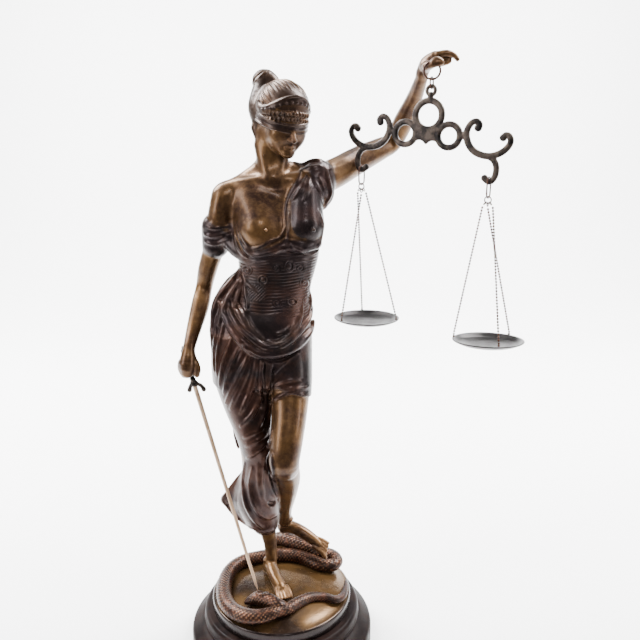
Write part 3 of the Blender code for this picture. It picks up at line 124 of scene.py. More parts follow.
class Clay:
    """A block of points a step apart, each with its distance to the surface and the kind of
    stuff that is nearest to it, such as skin or cloth."""

    def __init__(self, low, high, step):
        self.step = step
        self.low = np.array(low, float)
        self.count = np.ceil((np.array(high) - self.low) / step).astype(int) + 1
        self.value = np.full(self.count, FAR, np.float32)
        self.kind = np.zeros(self.count, np.uint8)
        self.now = 0
        self.rest = self.value

    def span(self, low, high, reach):
        """The part of the block within reach of a box, as first and last point numbers."""
        first = np.floor((np.array(low) - reach - self.low) / self.step)
        last = np.ceil((np.array(high) + reach - self.low) / self.step) + 1
        first = np.clip(first, 0, self.count).astype(int)
        return first, np.maximum(np.clip(last, 0, self.count).astype(int), first)

    def points(self, first, last):
        axes = [self.low[i] + self.step * np.arange(first[i], last[i]) for i in range(3)]
        return [axis.astype(np.float32) for axis in np.ix_(*axes)]

    def join(self, first, last, near, soft, carve=False):
        """The smaller of two distances, less soft * m * (1 - m) where they are close to equal
        and m goes from nought to one. To carve, the same is done from inside the solid."""
        part = tuple(slice(i, j) for i, j in zip(first, last))
        old = self.value[part]
        if carve:
            mix = np.clip(0.5 - 0.5 * (old + near) / soft, 0, 1)
            self.value[part] = old + (-near - old) * mix + soft * mix * (1 - mix)
        else:
            self.kind[part] = np.where(near < old, self.now, self.kind[part])
            mix = np.clip(0.5 + 0.5 * (old - near) / soft, 0, 1)
            self.value[part] = old + (near - old) * mix - soft * mix * (1 - mix)

    def limb(self, rows, soft=4.0, carve=False, trim=None, step=5.0):
        """A round bar along a smooth path: the distance to each short piece of the path, less
        the radius there. trim = (point, outward) cuts it off with a plane."""
        path = smooth_path(rows, step)
        reach = soft + 4.0 + 2 * self.step
        first, last = self.span(path[:, :3].min(0), path[:, :3].max(0), path[:, 3].max() + reach)
        if (last <= first).any():
            return
        near = np.full(last - first, FAR, np.float32)
        for a, b in zip(path[:-1], path[1:]):
            wide = max(a[3], b[3]) + reach
            low, high = self.span(np.minimum(a, b)[:3], np.maximum(a, b)[:3], wide)
            x, y, z = self.points(low, high)
            go = b - a
            size = max(float(go[:3] @ go[:3]), 1e-6)
            share = ((x - a[0]) * go[0] + (y - a[1]) * go[1] + (z - a[2]) * go[2]) / size
            share = np.clip(share, 0, 1)
            gap = (x - a[0] - share * go[0])**2 + (y - a[1] - share * go[1])**2
            gap = np.sqrt(gap + (z - a[2] - share * go[2])**2) - (a[3] + share * go[3])
            part = tuple(slice(i - k, j - k) for i, j, k in zip(low, high, first))
            near[part] = np.minimum(near[part], gap)
        if trim is not None:
            x, y, z = self.points(first, last)
            point, out = trim
            side = (x - point[0]) * out[0] + (y - point[1]) * out[1] + (z - point[2]) * out[2]
            near = np.maximum(near, side)
        self.join(first, last, near, soft, carve)

    def ball(self, centre, radii, soft=4.0, carve=False, turn=None):
        """An egg: with r the length of (x / a, y / b, z / c), its distance is about
        r * (r - 1) over the slope of r. turn gives its three axes."""
        radii = np.array(radii, float)
        first, last = self.span(centre, centre, radii.max() + soft + 7.0)
        if (last <= first).any():
            return
        x, y, z = self.points(first, last)
        x, y, z = x - centre[0], y - centre[1], z - centre[2]
        if turn is not None:
            x, y, z = (row[0] * x + row[1] * y + row[2] * z for row in turn)
        reach = np.sqrt((x / radii[0])**2 + (y / radii[1])**2 + (z / radii[2])**2)
        slope = np.sqrt((x / radii[0]**2)**2 + (y / radii[1]**2)**2 + (z / radii[2]**2)**2)
        near = reach * (reach - 1) / np.maximum(slope, 1e-6)
        self.join(first, last, np.minimum(near, FAR), soft, carve)

    def column(self, rows, soft=4.0):
        """An oval column: rows of height, x, y, half width and half depth, with the egg's
        formula used in each level."""
        path = smooth_path([(row[1], row[2], row[0], row[3], row[4]) for row in rows], 3.0)
        wide = path[:, 3:].max() + soft + 7.0
        first, last = self.span(path[:, :3].min(0), path[:, :3].max(0), wide)
        if (last <= first).any():
            return
        x, y, z = self.points(first, last)
        order = np.argsort(path[:, 2])
        cx, cy, a, b = (
            np.interp(z[0, 0], path[order, 2], path[order, k]).astype(np.float32)
            for k in (0, 1, 3, 4)
        )
        reach = np.sqrt(((x - cx) / a)**2 + ((y - cy) / b)**2)
        slope = np.sqrt(((x - cx) / a**2)**2 + ((y - cy) / b**2)**2)
        near = reach * (reach - 1) / np.maximum(slope, 1e-6)
        near = np.maximum(near, np.maximum(z - path[:, 2].max(), path[:, 2].min() - z))
        self.join(first, last, np.minimum(near, FAR), soft)

    def settle(self):
        """Later folds are laid on the surface as it is now."""
        self.rest = self.value.copy()

    def read(self, points, block=None):
        """The block's value at the point nearest to each place."""
        block = self.rest if block is None else block
        where = np.rint((points - self.low) / self.step).astype(int)
        inside = ((where >= 0) & (where < self.count)).all(-1)
        where = np.clip(where, 0, self.count - 1)
        return np.where(inside, block[where[..., 0], where[..., 1], where[..., 2]], FAR)

    def slope(self, points, apart, block=None):
        """Outward direction at places: the change of distance along x, y and z, made one long."""
        steps = np.eye(3) * apart
        out = [self.read(points + s, block) - self.read(points - s, block) for s in steps]
        out = np.stack(out, -1)
        return out / np.maximum(np.linalg.norm(out, axis=-1, keepdims=True), 1e-6)

    def lay(self, drawn, behind=False):
        """Carries drawn points along the line of sight until the distance turns negative, then
        evens out the depths with the weights 1, 2, 3, 2, 1."""
        drawn = smooth_path([(p[0], p[1], 0.0) for p in drawn], 3.0)
        depth = np.arange(-150.0, 150.0, self.step / 2) * (-1 if behind else 1)
        eye = EYE * (1, -1 if behind else 1, 1)
        flat = np.stack((drawn[:, 0], 0 * drawn[:, 0], drawn[:, 1]), -1)
        lines = eye + (flat - eye)[:, None, :] * (1 - depth / eye[1])[None, :, None]
        seen = self.read(lines)
        met = seen < 0
        pick = np.where(met.any(1), met.argmax(1), seen.argmin(1))
        spots = lines[np.arange(len(pick)), pick]
        pad = np.vstack((spots[:1], spots[:1], spots, spots[-1:], spots[-1:]))
        calm = (pad[:-4] + 2 * pad[1:-3] + 3 * pad[2:-2] + 2 * pad[3:-1] + pad[4:]) / 9
        return calm, self.slope(calm, 6.4)

    def fold(self, drawn, wide=4.0, high=3.0, soft=3.0, ends=0.3, behind=False):
        """A ridge laid along drawn points. Its radius swells as sin(pi t) to the power 0.6, and
        its middle lies high - wide above the surface."""
        spots, out = self.lay(drawn, behind)
        swell = ends + (1 - ends) * np.sin(math.pi * np.linspace(0, 1, len(spots)))**0.6
        middle = spots + out * ((high - wide) * swell)[:, None]
        self.limb(np.column_stack((middle, wide * swell)), soft, step=6.0)

    def groove(self, drawn, wide=3.0, deep=2.5, soft=2.5, ends=0.2, behind=False):
        """A furrow, carved with the same bar as a fold's."""
        spots, out = self.lay(drawn, behind)
        swell = ends + (1 - ends) * np.sin(math.pi * np.linspace(0, 1, len(spots)))**0.6
        middle = spots + out * ((wide - deep) * swell)[:, None]
        self.limb(np.column_stack((middle, wide * swell)), soft, carve=True, step=6.0)

    def surface(self):
        """Points in millimetres and three-cornered faces where the distance is nought."""
        grid = openvdb.FloatGrid(FAR)
        grid.copyFromArray(self.value)
        points, triangles, quads = grid.convertToPolygons(0.0, 0.0)
        faces = np.vstack((quads[:, [0, 1, 2]], quads[:, [0, 2, 3]]))
        faces = np.vstack((faces, triangles)) if len(triangles) else faces
        points = points * self.step + self.low
        a, b, c = points[faces[:, 0]], points[faces[:, 1]], points[faces[:, 2]]
        inside_out = np.einsum("ij,ij->i", a - a.mean(0), np.cross(b - a, c - a)).sum() < 0
        return points, faces[:, ::-1] if inside_out else faces


print("clay is read at eight neighbours of each surface point, far is", FAR, "mm")

# %% [markdown]
# ## The head
#
# The head is turned to its left, bent forward and leaned a little. It is easier to shape it upright
# and to turn the numbers, so each place on it is given as side, front and up in a frame that is
# turned with the head. The face is a plain, calm one from a drawing book: the nose ends half way
# between brow and chin, and the mouth a third of the way on. The blindfold hides the eyes.

# %% Head, face, hair and blindfold
GROUND, SKIN, CLOTH, HAIR, BAND = range(5)
HEAD_MIDDLE = np.array((14.0, -1.0, 858.0))


def turned(yaw, nod, lean):
    """Side, front and up directions of a frame turned, nodded and leaned by degrees."""
    yaw, nod, lean = np.radians((yaw, nod, lean))
    front = np.array((math.sin(yaw), -math.cos(yaw), 0.0))
    side = np.array((math.cos(yaw), math.sin(yaw), 0.0))
    up = np.array((0.0, 0.0, 1.0))
    front, up = front * math.cos(nod) - up * math.sin(nod), up * math.cos(nod) + front * math.sin(nod)
    side, up = side * math.cos(lean) - up * math.sin(lean), up * math.cos(lean) + side * math.sin(lean)
    return np.stack((side, front, up))


HEAD_TURN = turned(27.0, 19.0, 3.0)


def head_spot(side, front, up):
    return HEAD_MIDDLE + np.array((side, front, up)) @ HEAD_TURN


def head_rows(*rows):
    return np.array([(*head_spot(*row[:3]), row[3]) for row in rows])


def head_ring(wide, deep, rise, radius, turns, back=-6.0):
    """A band round the head: side = wide sin t, front = back + deep cos t, up = rise(t)."""
    t = np.radians(turns)
    return [(wide * math.sin(a), back + deep * math.cos(a), rise(a), radius) for a in t]


def shape_head(clay):
    turn = HEAD_TURN
    clay.now = SKIN
    clay.ball(head_spot(0, -5, 9), (32.5, 38, 35), 6, turn=turn)
    clay.ball(head_spot(0, 13, -13), (25, 25, 31), 8, turn=turn)
    clay.limb(head_rows((-17, 6, -26, 9), (0, 29, -42, 7.5), (17, 6, -26, 9)), 8)
    clay.ball(head_spot(0, 32, -42), (8, 7, 7), 6, turn=turn)
    # Nose, its wings, lips and cheeks
    clay.limb(head_rows((0, 34, -10, 3.0), (0, 40, -15, 3.2), (0, 44, -20.5, 3.6)), 4)
    for side in (-1, 1):
        clay.ball(head_spot(4.6 * side, 39.5, -21), (2.4, 3, 2.2), 2.5, turn=turn)
        clay.ball(head_spot(15 * side, 20, -20), (10, 8, 12), 14, turn=turn)
    clay.limb(head_rows((-6.5, 34.4, -32.4, 1.0), (-2.5, 36.8, -31, 1.9), (0, 37.2, -31.4, 1.8),
                        (2.5, 36.8, -31, 1.9), (6.5, 34.4, -32.4, 1.0)), 3)
    clay.limb(head_rows((-6, 34, -34, 1.0), (0, 36.8, -35.4, 2.2), (6, 34, -34, 1.0)), 3)
    clay.limb(head_rows((-7, 35, -33, 0.5), (0, 39.4, -33.2, 0.6), (7, 35, -33, 0.5)), 0.8, carve=True)


def shape_hair(clay):
    turn = HEAD_TURN
    clay.now = HAIR
    middle, radii = np.array((0.0, -10.0, 11.0)), np.array((36.2, 39.2, 36.8))
    clay.ball(head_spot(*middle), radii, 4, turn=turn)
    clay.ball(head_spot(-5, -22, 2), (32, 28, 29), 6, turn=turn)
    clay.ball(head_spot(0, 4, 20), (29, 29, 22), 6, turn=turn)
    bun = at(-13, 906, 32)
    clay.ball(bun, (17.5, 17.5, 17), 3)
    clay.ball(at(-17, 892, 34), (15, 14, 11), 4)
    clay.limb(rows_at((-28, 843, 12, 6), (-23, 827, 4, 4.5), (-16, 815, -4, 2.5)), 3)
    clay.limb(rows_at((-4, 903, 28, 13), (-14, 891, 24, 17), (-20, 873, 22, 18),
                      (-18, 856, 18, 15.5), (-14, 840, 10, 12), (-13, 829, 6, 9)), 8)
    # Strands from the brow and the nape up to the bun, on the skull's egg
    strands, bun_strands = 46, 11
    goal = (bun - head_spot(*middle)) @ turn.T / radii
    goal /= np.linalg.norm(goal)
    for k in range(strands):
        angle = 2 * math.pi * k / strands
        start = np.array((math.sin(angle), math.cos(angle), 0.16 + 0.12 * math.cos(angle)))
        start /= np.linalg.norm(start)
        wide = math.acos(np.clip(start @ goal, -1, 1))
        t = np.linspace(0, 0.86, 9)[:, None]
        way = (np.sin((1 - t) * wide) * start + np.sin(t * wide) * goal) / math.sin(wide)
        wave = 0.8 * np.sin(5.0 * t + 2.4 * k)
        spots = middle + way * (radii + 0.2) + wave * np.cross(way, goal)
        size = 1.75 + 0.35 * math.sin(2.7 * k)
        clay.limb(head_rows(*[(*p, size) for p in spots]), 0.7)
    rise = np.linspace(-1.25, 1.25, 9)
    for k in range(bun_strands):
        angle = 2 * math.pi * k / bun_strands + 1.1 * rise
        level = np.cos(rise)
        spots = bun + np.column_stack((
            16.6 * level * np.cos(angle), 16.6 * level * np.sin(angle), 16.2 * np.sin(rise)))
        clay.limb([(*p, 2.2) for p in spots], 0.8)
    # Curls of the fringe between the diadem and the blindfold, in two rows
    for row in range(2):
        for k, angle in enumerate(np.linspace(-80, 80, 17)):
            t = math.radians(angle + 5 * row)
            up = 14.5 - 8 * row - 9 * math.sin(t)**2
            x, y = 32.2 * math.sin(t), -6 + 38.2 * math.cos(t)
            clay.ball(head_spot(x, y, up), (3.8, 3.8, 4.4), 1.4, turn=turn)
            turns = np.linspace(0, 5.2, 9) + k
            size = 3.4 - 0.3 * (turns - k)
            clay.limb(head_rows(*[(x + s * math.cos(a), y + 3.4, up + s * math.sin(a), 1.1)
                                  for a, s in zip(turns, size)]), 0.6, step=2)


def diadem_edge(a, share=1.0):
    """Height of the diadem at angle a: 21 - 17 sin squared at its foot, 37.5 - 27 sin squared on
    top, and a share of the way between them."""
    foot, top = 21 - 17 * math.sin(a)**2, 37.5 - 27 * math.sin(a)**2
    return foot + share * (top - foot)


def shape_bands(clay):
    clay.now = BAND
    # The diadem: a wall of rings from its lower to its upper edge, tall in front
    bare = np.linspace(-112, 112, 27)
    for share in np.linspace(0.12, 0.88, 5):
        swell = 1.2 * math.sin(math.pi * share)
        clay.limb(head_rows(*head_ring(32.6 + swell, 35.4 + swell, lambda a: diadem_edge(a, share),
                                       3.4, bare, -7)), 2.5)
    for share, shift, size in ((0, -0.6, 1.5), (1, 0.4, 1.8), (1, -3.2, 0.9)):
        clay.limb(head_rows(*head_ring(35.9, 38.7, lambda a: diadem_edge(a, share) + shift,
                                       size, bare, -7)), 0.7)
    for angle in np.linspace(-78, 78, 15):
        t = math.radians(angle)
        level = diadem_edge(t, 0.55)
        clay.ball(head_spot(37.2 * math.sin(t), -7 + 39.8 * math.cos(t), level), (1.9, 1.9, 1.9), 0.5)
    # The blindfold and its creases
    around = np.linspace(0, 360, 33)
    clay.limb(head_rows(*head_ring(30, 37, lambda a: -5 - 1.5 * math.cos(a), 6.8, around)), 2.0)
    for rise, sway, size in ((0.6, 0.8, 1.7), (-2.4, -1.2, 1.2), (-6.0, 1.4, 1.5), (-10.2, 0.9, 1.8)):
        crease = lambda a: rise - 1.5 * math.cos(a) + sway * math.sin(2 * a + rise)
        clay.limb(head_rows(*head_ring(36.0, 43.2, crease, size, around)), 0.9)


print("the face looks along", np.round(HEAD_TURN[1], 2))

# %% [markdown]
# ## Body and limbs
#
# Limbs are rows of places with a radius at each, as a sculptor builds on wires: the wire is a smooth
# path and the clay swells and narrows along it. The left thigh comes forward and its shin goes
# back, so that the foot rests on the coil behind. Collar bones, calves and toes are thin bars of
# their own, pressed into the rest.

# %% Trunk, arms and legs
def mixed(a, b, share):
    """The point at a share of the way from a to b."""
    return tuple(p + (q - p) * share for p, q in zip(a, b))


def shape_body(clay):
    clay.now = SKIN
    clay.limb(rows_at((-5, 838, 8, 20), (-6, 813, 9, 19.5), (-6, 791, 12, 21),
                      (-5, 767, 16, 27)), 8)
    clay.limb(rows_at((-11, 790, 20, 15), (-43, 769, 16, 14), (-73, 751, 10, 14)), 12)
    clay.limb(rows_at((1, 790, 20, 14), (30, 780, 18, 14), (59, 773, 18, 15)), 12)
    clay.column((
        (752, -2, 12, 44, 22), (735, -4, 9, 58, 31), (715, -3, 7, 61, 37), (695, 0, 5, 62, 40),
        (670, 1, 4, 60, 40), (645, 1, 4, 55, 38), (615, -3, 5, 51, 36), (590, -10, 6, 56, 40),
        (560, -20, 7, 68, 47), (530, -25, 8, 73, 50), (500, -25, 8, 70, 48),
    ), 12)
    clay.ball((-6, 13, 742), (72, 25, 26), 14)
    clay.ball((26, 14, 752), (42, 24, 24), 12)
    clay.ball((-30, 12, 738), (44, 26, 22), 12)
    # Collar bones and breasts
    clay.limb(rows_at((-14, 770, -8, 4), (-46, 766, -3, 6), (-70, 757, 5, 8)), 14)
    clay.limb(rows_at((5, 770, -8, 4), (36, 774, -1, 6), (56, 774, 8, 7)), 14)
    clay.limb(rows_at((-34, 737, 0, 18), (-26, 702, -20, 25)), 24)
    clay.ball(at(-15, 697, -51), (2.6, 3, 2.6), 2)
    clay.limb(rows_at((41, 741, -4, 19), (43, 705, -19, 25)), 20)
    # Cords of the neck
    clay.limb(rows_at((-22, 820, 6, 7), (-15, 796, -1, 6), (-8, 776, -7, 4)), 12)
    clay.limb(rows_at((11, 799, 3, 6), (5, 784, -3, 5), (-1, 774, -7, 4)), 12)
    # Right arm, hanging to the sword
    clay.limb(rows_at(
        (-76, 746, 6, 19), (-82, 719, 8, 19), (-90, 682, 18, 16.5),
        (-104, 640, 34, 14.8), (-111, 611, 42, 13), (-118, 583, 28, 14),
        (-129, 547, 2, 11.5), (-138, 516, -24, 9.2), (-140, 502, -30, 10),
    ), 8)
    # Left arm, raised to the beam
    clay.limb(rows_at(
        (56, 767, 16, 23), (87, 780, 42, 22.5), (123, 800, 78, 20.5),
        (152, 814, 102, 17.5), (170, 824, 108, 15), (185, 853, 90, 15.5),
        (199, 884, 60, 12), (208, 910, 28, 9.2),
    ), 8)
    # Left thigh and shin, bare below the short skirt
    clay.limb(rows_at(
        (11, 519, 6, 39), (16, 471, -8, 34), (17, 421, -28, 28.5),
        (12, 364, -50, 25), (7, 326, -58, 23.5), (9, 315, -52, 20.5),
    ), 8)
    clay.limb(rows_at(
        (8, 321, -50, 19.5), (14, 296, -18, 18.5), (10, 265, 14, 16.5),
        (6, 240, 38, 13.5), (5, 220, 52, 13),
    ), 8)
    # Right leg, standing
    clay.limb(rows_at(
        (-50, 519, 8, 44), (-50, 446, 0, 36), (-41, 366, -12, 24.5),
        (-35, 308, -2, 22.5), (-28, 236, 12, 18), (-19, 181, 20, 11.5),
        (-17, 151, 19, 10), (-19, 135, 20, 11),
    ), 8)


def shape_feet(clay):
    clay.now = SKIN
    clay.limb(rows_at(
        (5, 207, 62, 12), (18, 205, 57, 11), (35, 196, 49, 10.5),
        (52, 183, 43, 9.5), (63, 173, 38, 8),
    ), 5)
    for k in range(5):
        t = k / 4
        clay.limb(rows_at(
            (*mixed((58, 185), (55, 169), t), 43 - 9 * t, 3.6 + 0.8 * (k == 4)),
            (*mixed((70, 181), (68, 158), t), 39 - 11 * t, 2.9 + 1.0 * (k == 4)),
            (*mixed((79, 175), (74, 148), t), 36 - 11 * t, 2.6 + 1.0 * (k == 4)),
        ), 1.0)
    clay.limb(rows_at(
        (-22, 133, 32, 10), (-18, 130, 12, 10.5), (-11, 110, -12, 10.5),
        (-3, 93, -30, 9.5), (1, 84, -37, 7.5),
    ), 5)
    for k in range(5):
        t = k / 4
        clay.limb(rows_at(
            (*mixed((-9, 89), (8, 91), t), -36, 3.2 + 0.8 * (k == 4)),
            (*mixed((-8, 75), (13, 81), t), -48 + 3 * t, 2.7 + 1.0 * (k == 4)),
            (*mixed((-6, 67), (15, 72), t), -55 + 4 * t, 2.5 + 1.0 * (k == 4)),
        ), 1.0)
    # Ankle bones and the tendon above the left heel
    for across, up, depth, size in (
        (-27, 143, 16, 3.6), (-12, 145, 16, 3.6), (17, 220, 48, 4),
    ):
        clay.ball(at(across, up, depth), (size, size, size), 5)


def shape_hands(clay):
    """The right hand shows its back and holds the hilt on its far side; the left hand hangs from
    the wrist with the ring hooked over its thumb."""
    clay.now = SKIN
    clay.limb(rows_at((-140, 505, -29, 9.3), (-142, 489, -32, 12.8), (-143, 477, -30, 11)), 4)
    clay.limb(rows_at((-150, 490, -30, 6.5), (-151, 482, -29, 6.5), (-147, 472, -26, 5.5)), 4)
    for k in range(4):
        t = k / 3
        clay.limb(rows_at(
            (*mixed((-151, 489), (-148, 471), t), -28, 4.4),
            (*mixed((-151, 489), (-147, 470), t), -18, 4.4),
            (*mixed((-141, 490), (-137, 471), t), -11, 4.4),
            (*mixed((-132, 492), (-128, 475), t), -18, 4.0),
        ), 1.5)
    clay.limb(rows_at((-133, 498, -30, 5), (-129, 488, -30, 5.8), (-127, 479, -29, 5.4),
                      (-128, 471, -28, 4.4)), 3)
    clay.limb(rows_at((209, 918, 20, 9.2), (215, 931, 8, 9.5), (226, 938, 0, 9)), 5)
    clay.limb(rows_at((230, 942, -6, 5), (243, 944, -9, 4.6), (253, 941, -10, 3.8),
                      (258, 936, -10, 3.0)), 2)
    for k in range(3):
        t = k / 2
        depth = -1 + 6 * k
        clay.limb(rows_at(
            (230, 942, depth, 5),
            (*mixed((243, 942), (240, 942), t), depth - 1, 4.4),
            (*mixed((246, 934), (243, 934), t), depth - 3, 4.0),
            (*mixed((236, 930), (234, 930), t), depth - 5, 3.6),
        ), 1.5)
    clay.limb(rows_at((215, 927, -6, 6.5), (224, 930, -16, 5.6), (235, 932, -18, 4.6)), 3)
    clay.ball(at(229, 934, -15), (8, 6.5, 6), 3)
    clay.limb(rows_at((214, 927, 4, 8), (225, 934, 0, 8.5), (238, 936, 0, 6.5)), 4)


print("limbs are written; toes and fingers are bars 5 to 9 mm thick")

# %% [markdown]
# ## Volumes of cloth
#
# Cloth is roughed out as full volumes before a single fold is cut: the bodice over the left breast,
# the corset's trunk, the bunch at the right hip, the long skirt round the standing leg, the short
# skirt cut off slantwise over the left thigh, and the tail that swings out behind the shin.

# %% Robe in the rough
TRUNK = (
    (678, 2, 3, 62, 43), (655, 2, 3, 59, 42), (630, -1, 4, 55.5, 39.5),
    (613, -4, 5, 54, 39), (590, -11, 6, 59, 43), (565, -20, 7, 69, 49), (545, -26, 8, 73, 53),
)


def shape_robe(clay):
    """Cloth volumes: bodice, trunk, hip bunch, skirt and tail."""
    clay.now = CLOTH
    # Cloth under the breasts, and the two thin edges of the tail
    clay.limb(rows_at((-40, 667, -20, 9), (-22, 664, -30, 8), (-4, 667, -34, 8),
                      (17, 673, -36, 8), (38, 672, -36, 9), (59, 678, -22, 9)), 6)
    clay.limb(rows_at((-57, 254, 12, 12), (-61, 229, 14, 9), (-48, 210, 10, 8)), 5)
    clay.limb(rows_at((-70, 258, 18, 8), (-78, 243, 20, 7), (-67, 225, 18, 7)), 5)
    # Left breast, shoulder and sleeve
    clay.limb(rows_at((44, 749, -8, 22), (43, 705, -20, 26.5)), 10)
    clay.ball(at(56, 697, -48), (2.8, 3, 2.8), 3)
    clay.ball(at(59, 764, 10), (20, 24, 26), 10)
    clay.limb(rows_at((62, 776, 12, 24), (74, 750, 10, 12), (69, 735, 6, 8)), 6)
    clay.limb(rows_at((-89, 702, 14, 22), (-91, 675, 20, 20.5)), 3)
    clay.limb(rows_at((-75, 688, 8, 13), (-58, 670, -4, 14), (-46, 661, -12, 12)), 8)
    clay.limb(rows_at((-72, 706, 6, 8), (-60, 700, 0, 8), (-53, 688, -4, 8)), 6)
    # Trunk, hips and skirt
    clay.column(TRUNK, 3)
    clay.limb(rows_at((-54, 629, 2, 10), (-64, 609, 4, 19), (-70, 581, 4, 29),
                      (-69, 551, 4, 36)), 8)
    clay.column((
        (578, -24, 7, 65, 48), (562, -24.5, 7, 73.5, 53), (536, -25, 7, 76, 56),
        (510, -26, 7, 75, 55), (480, -30, 6, 72.5, 52), (462, -36, 4, 67, 48),
    ), 6)
    clay.column((
        (540, -46, 8, 57, 54), (477, -57, 4, 46, 50), (424, -48, -2, 40, 45),
        (366, -36, -8, 28, 37), (333, -34, -4, 24, 33), (297, -34, 2, 29, 35),
        (254, -38, 6, 36, 38), (218, -33, 8, 29, 30), (196, -26, 10, 18, 22),
    ), 8)
    hem = at(21, 439, -55)
    clay.limb(rows_at(
        (9, 527, 6, 43), (15, 475, -6, 37.5), (17, 429, -26, 33),
        (16, 395, -40, 30.5),
    ), 5, trim=(hem, np.array((-0.33, -0.12, -0.93))))
    clay.limb(rows_at((-49, 294, 14, 18), (-70, 269, 18, 15.5), (-88, 256, 20, 10.5)), 8)
    clay.limb(rows_at((-50, 272, 10, 20), (-62, 247, 14, 15), (-71, 234, 16, 10)), 8)


print("robe volumes are written")

# %% [markdown]
# ## Folds
#
# Each fold is a line drawn over the picture from the eye's place, as (across, up) pairs, with the
# fold's half width and height in millimetres. Folds start thin, swell and end thin. They gather at
# three places: the knot on the left shoulder, the swag under the breasts, and the rolled sash that
# holds the skirt at the hips. Dark hollows between them are carved last.

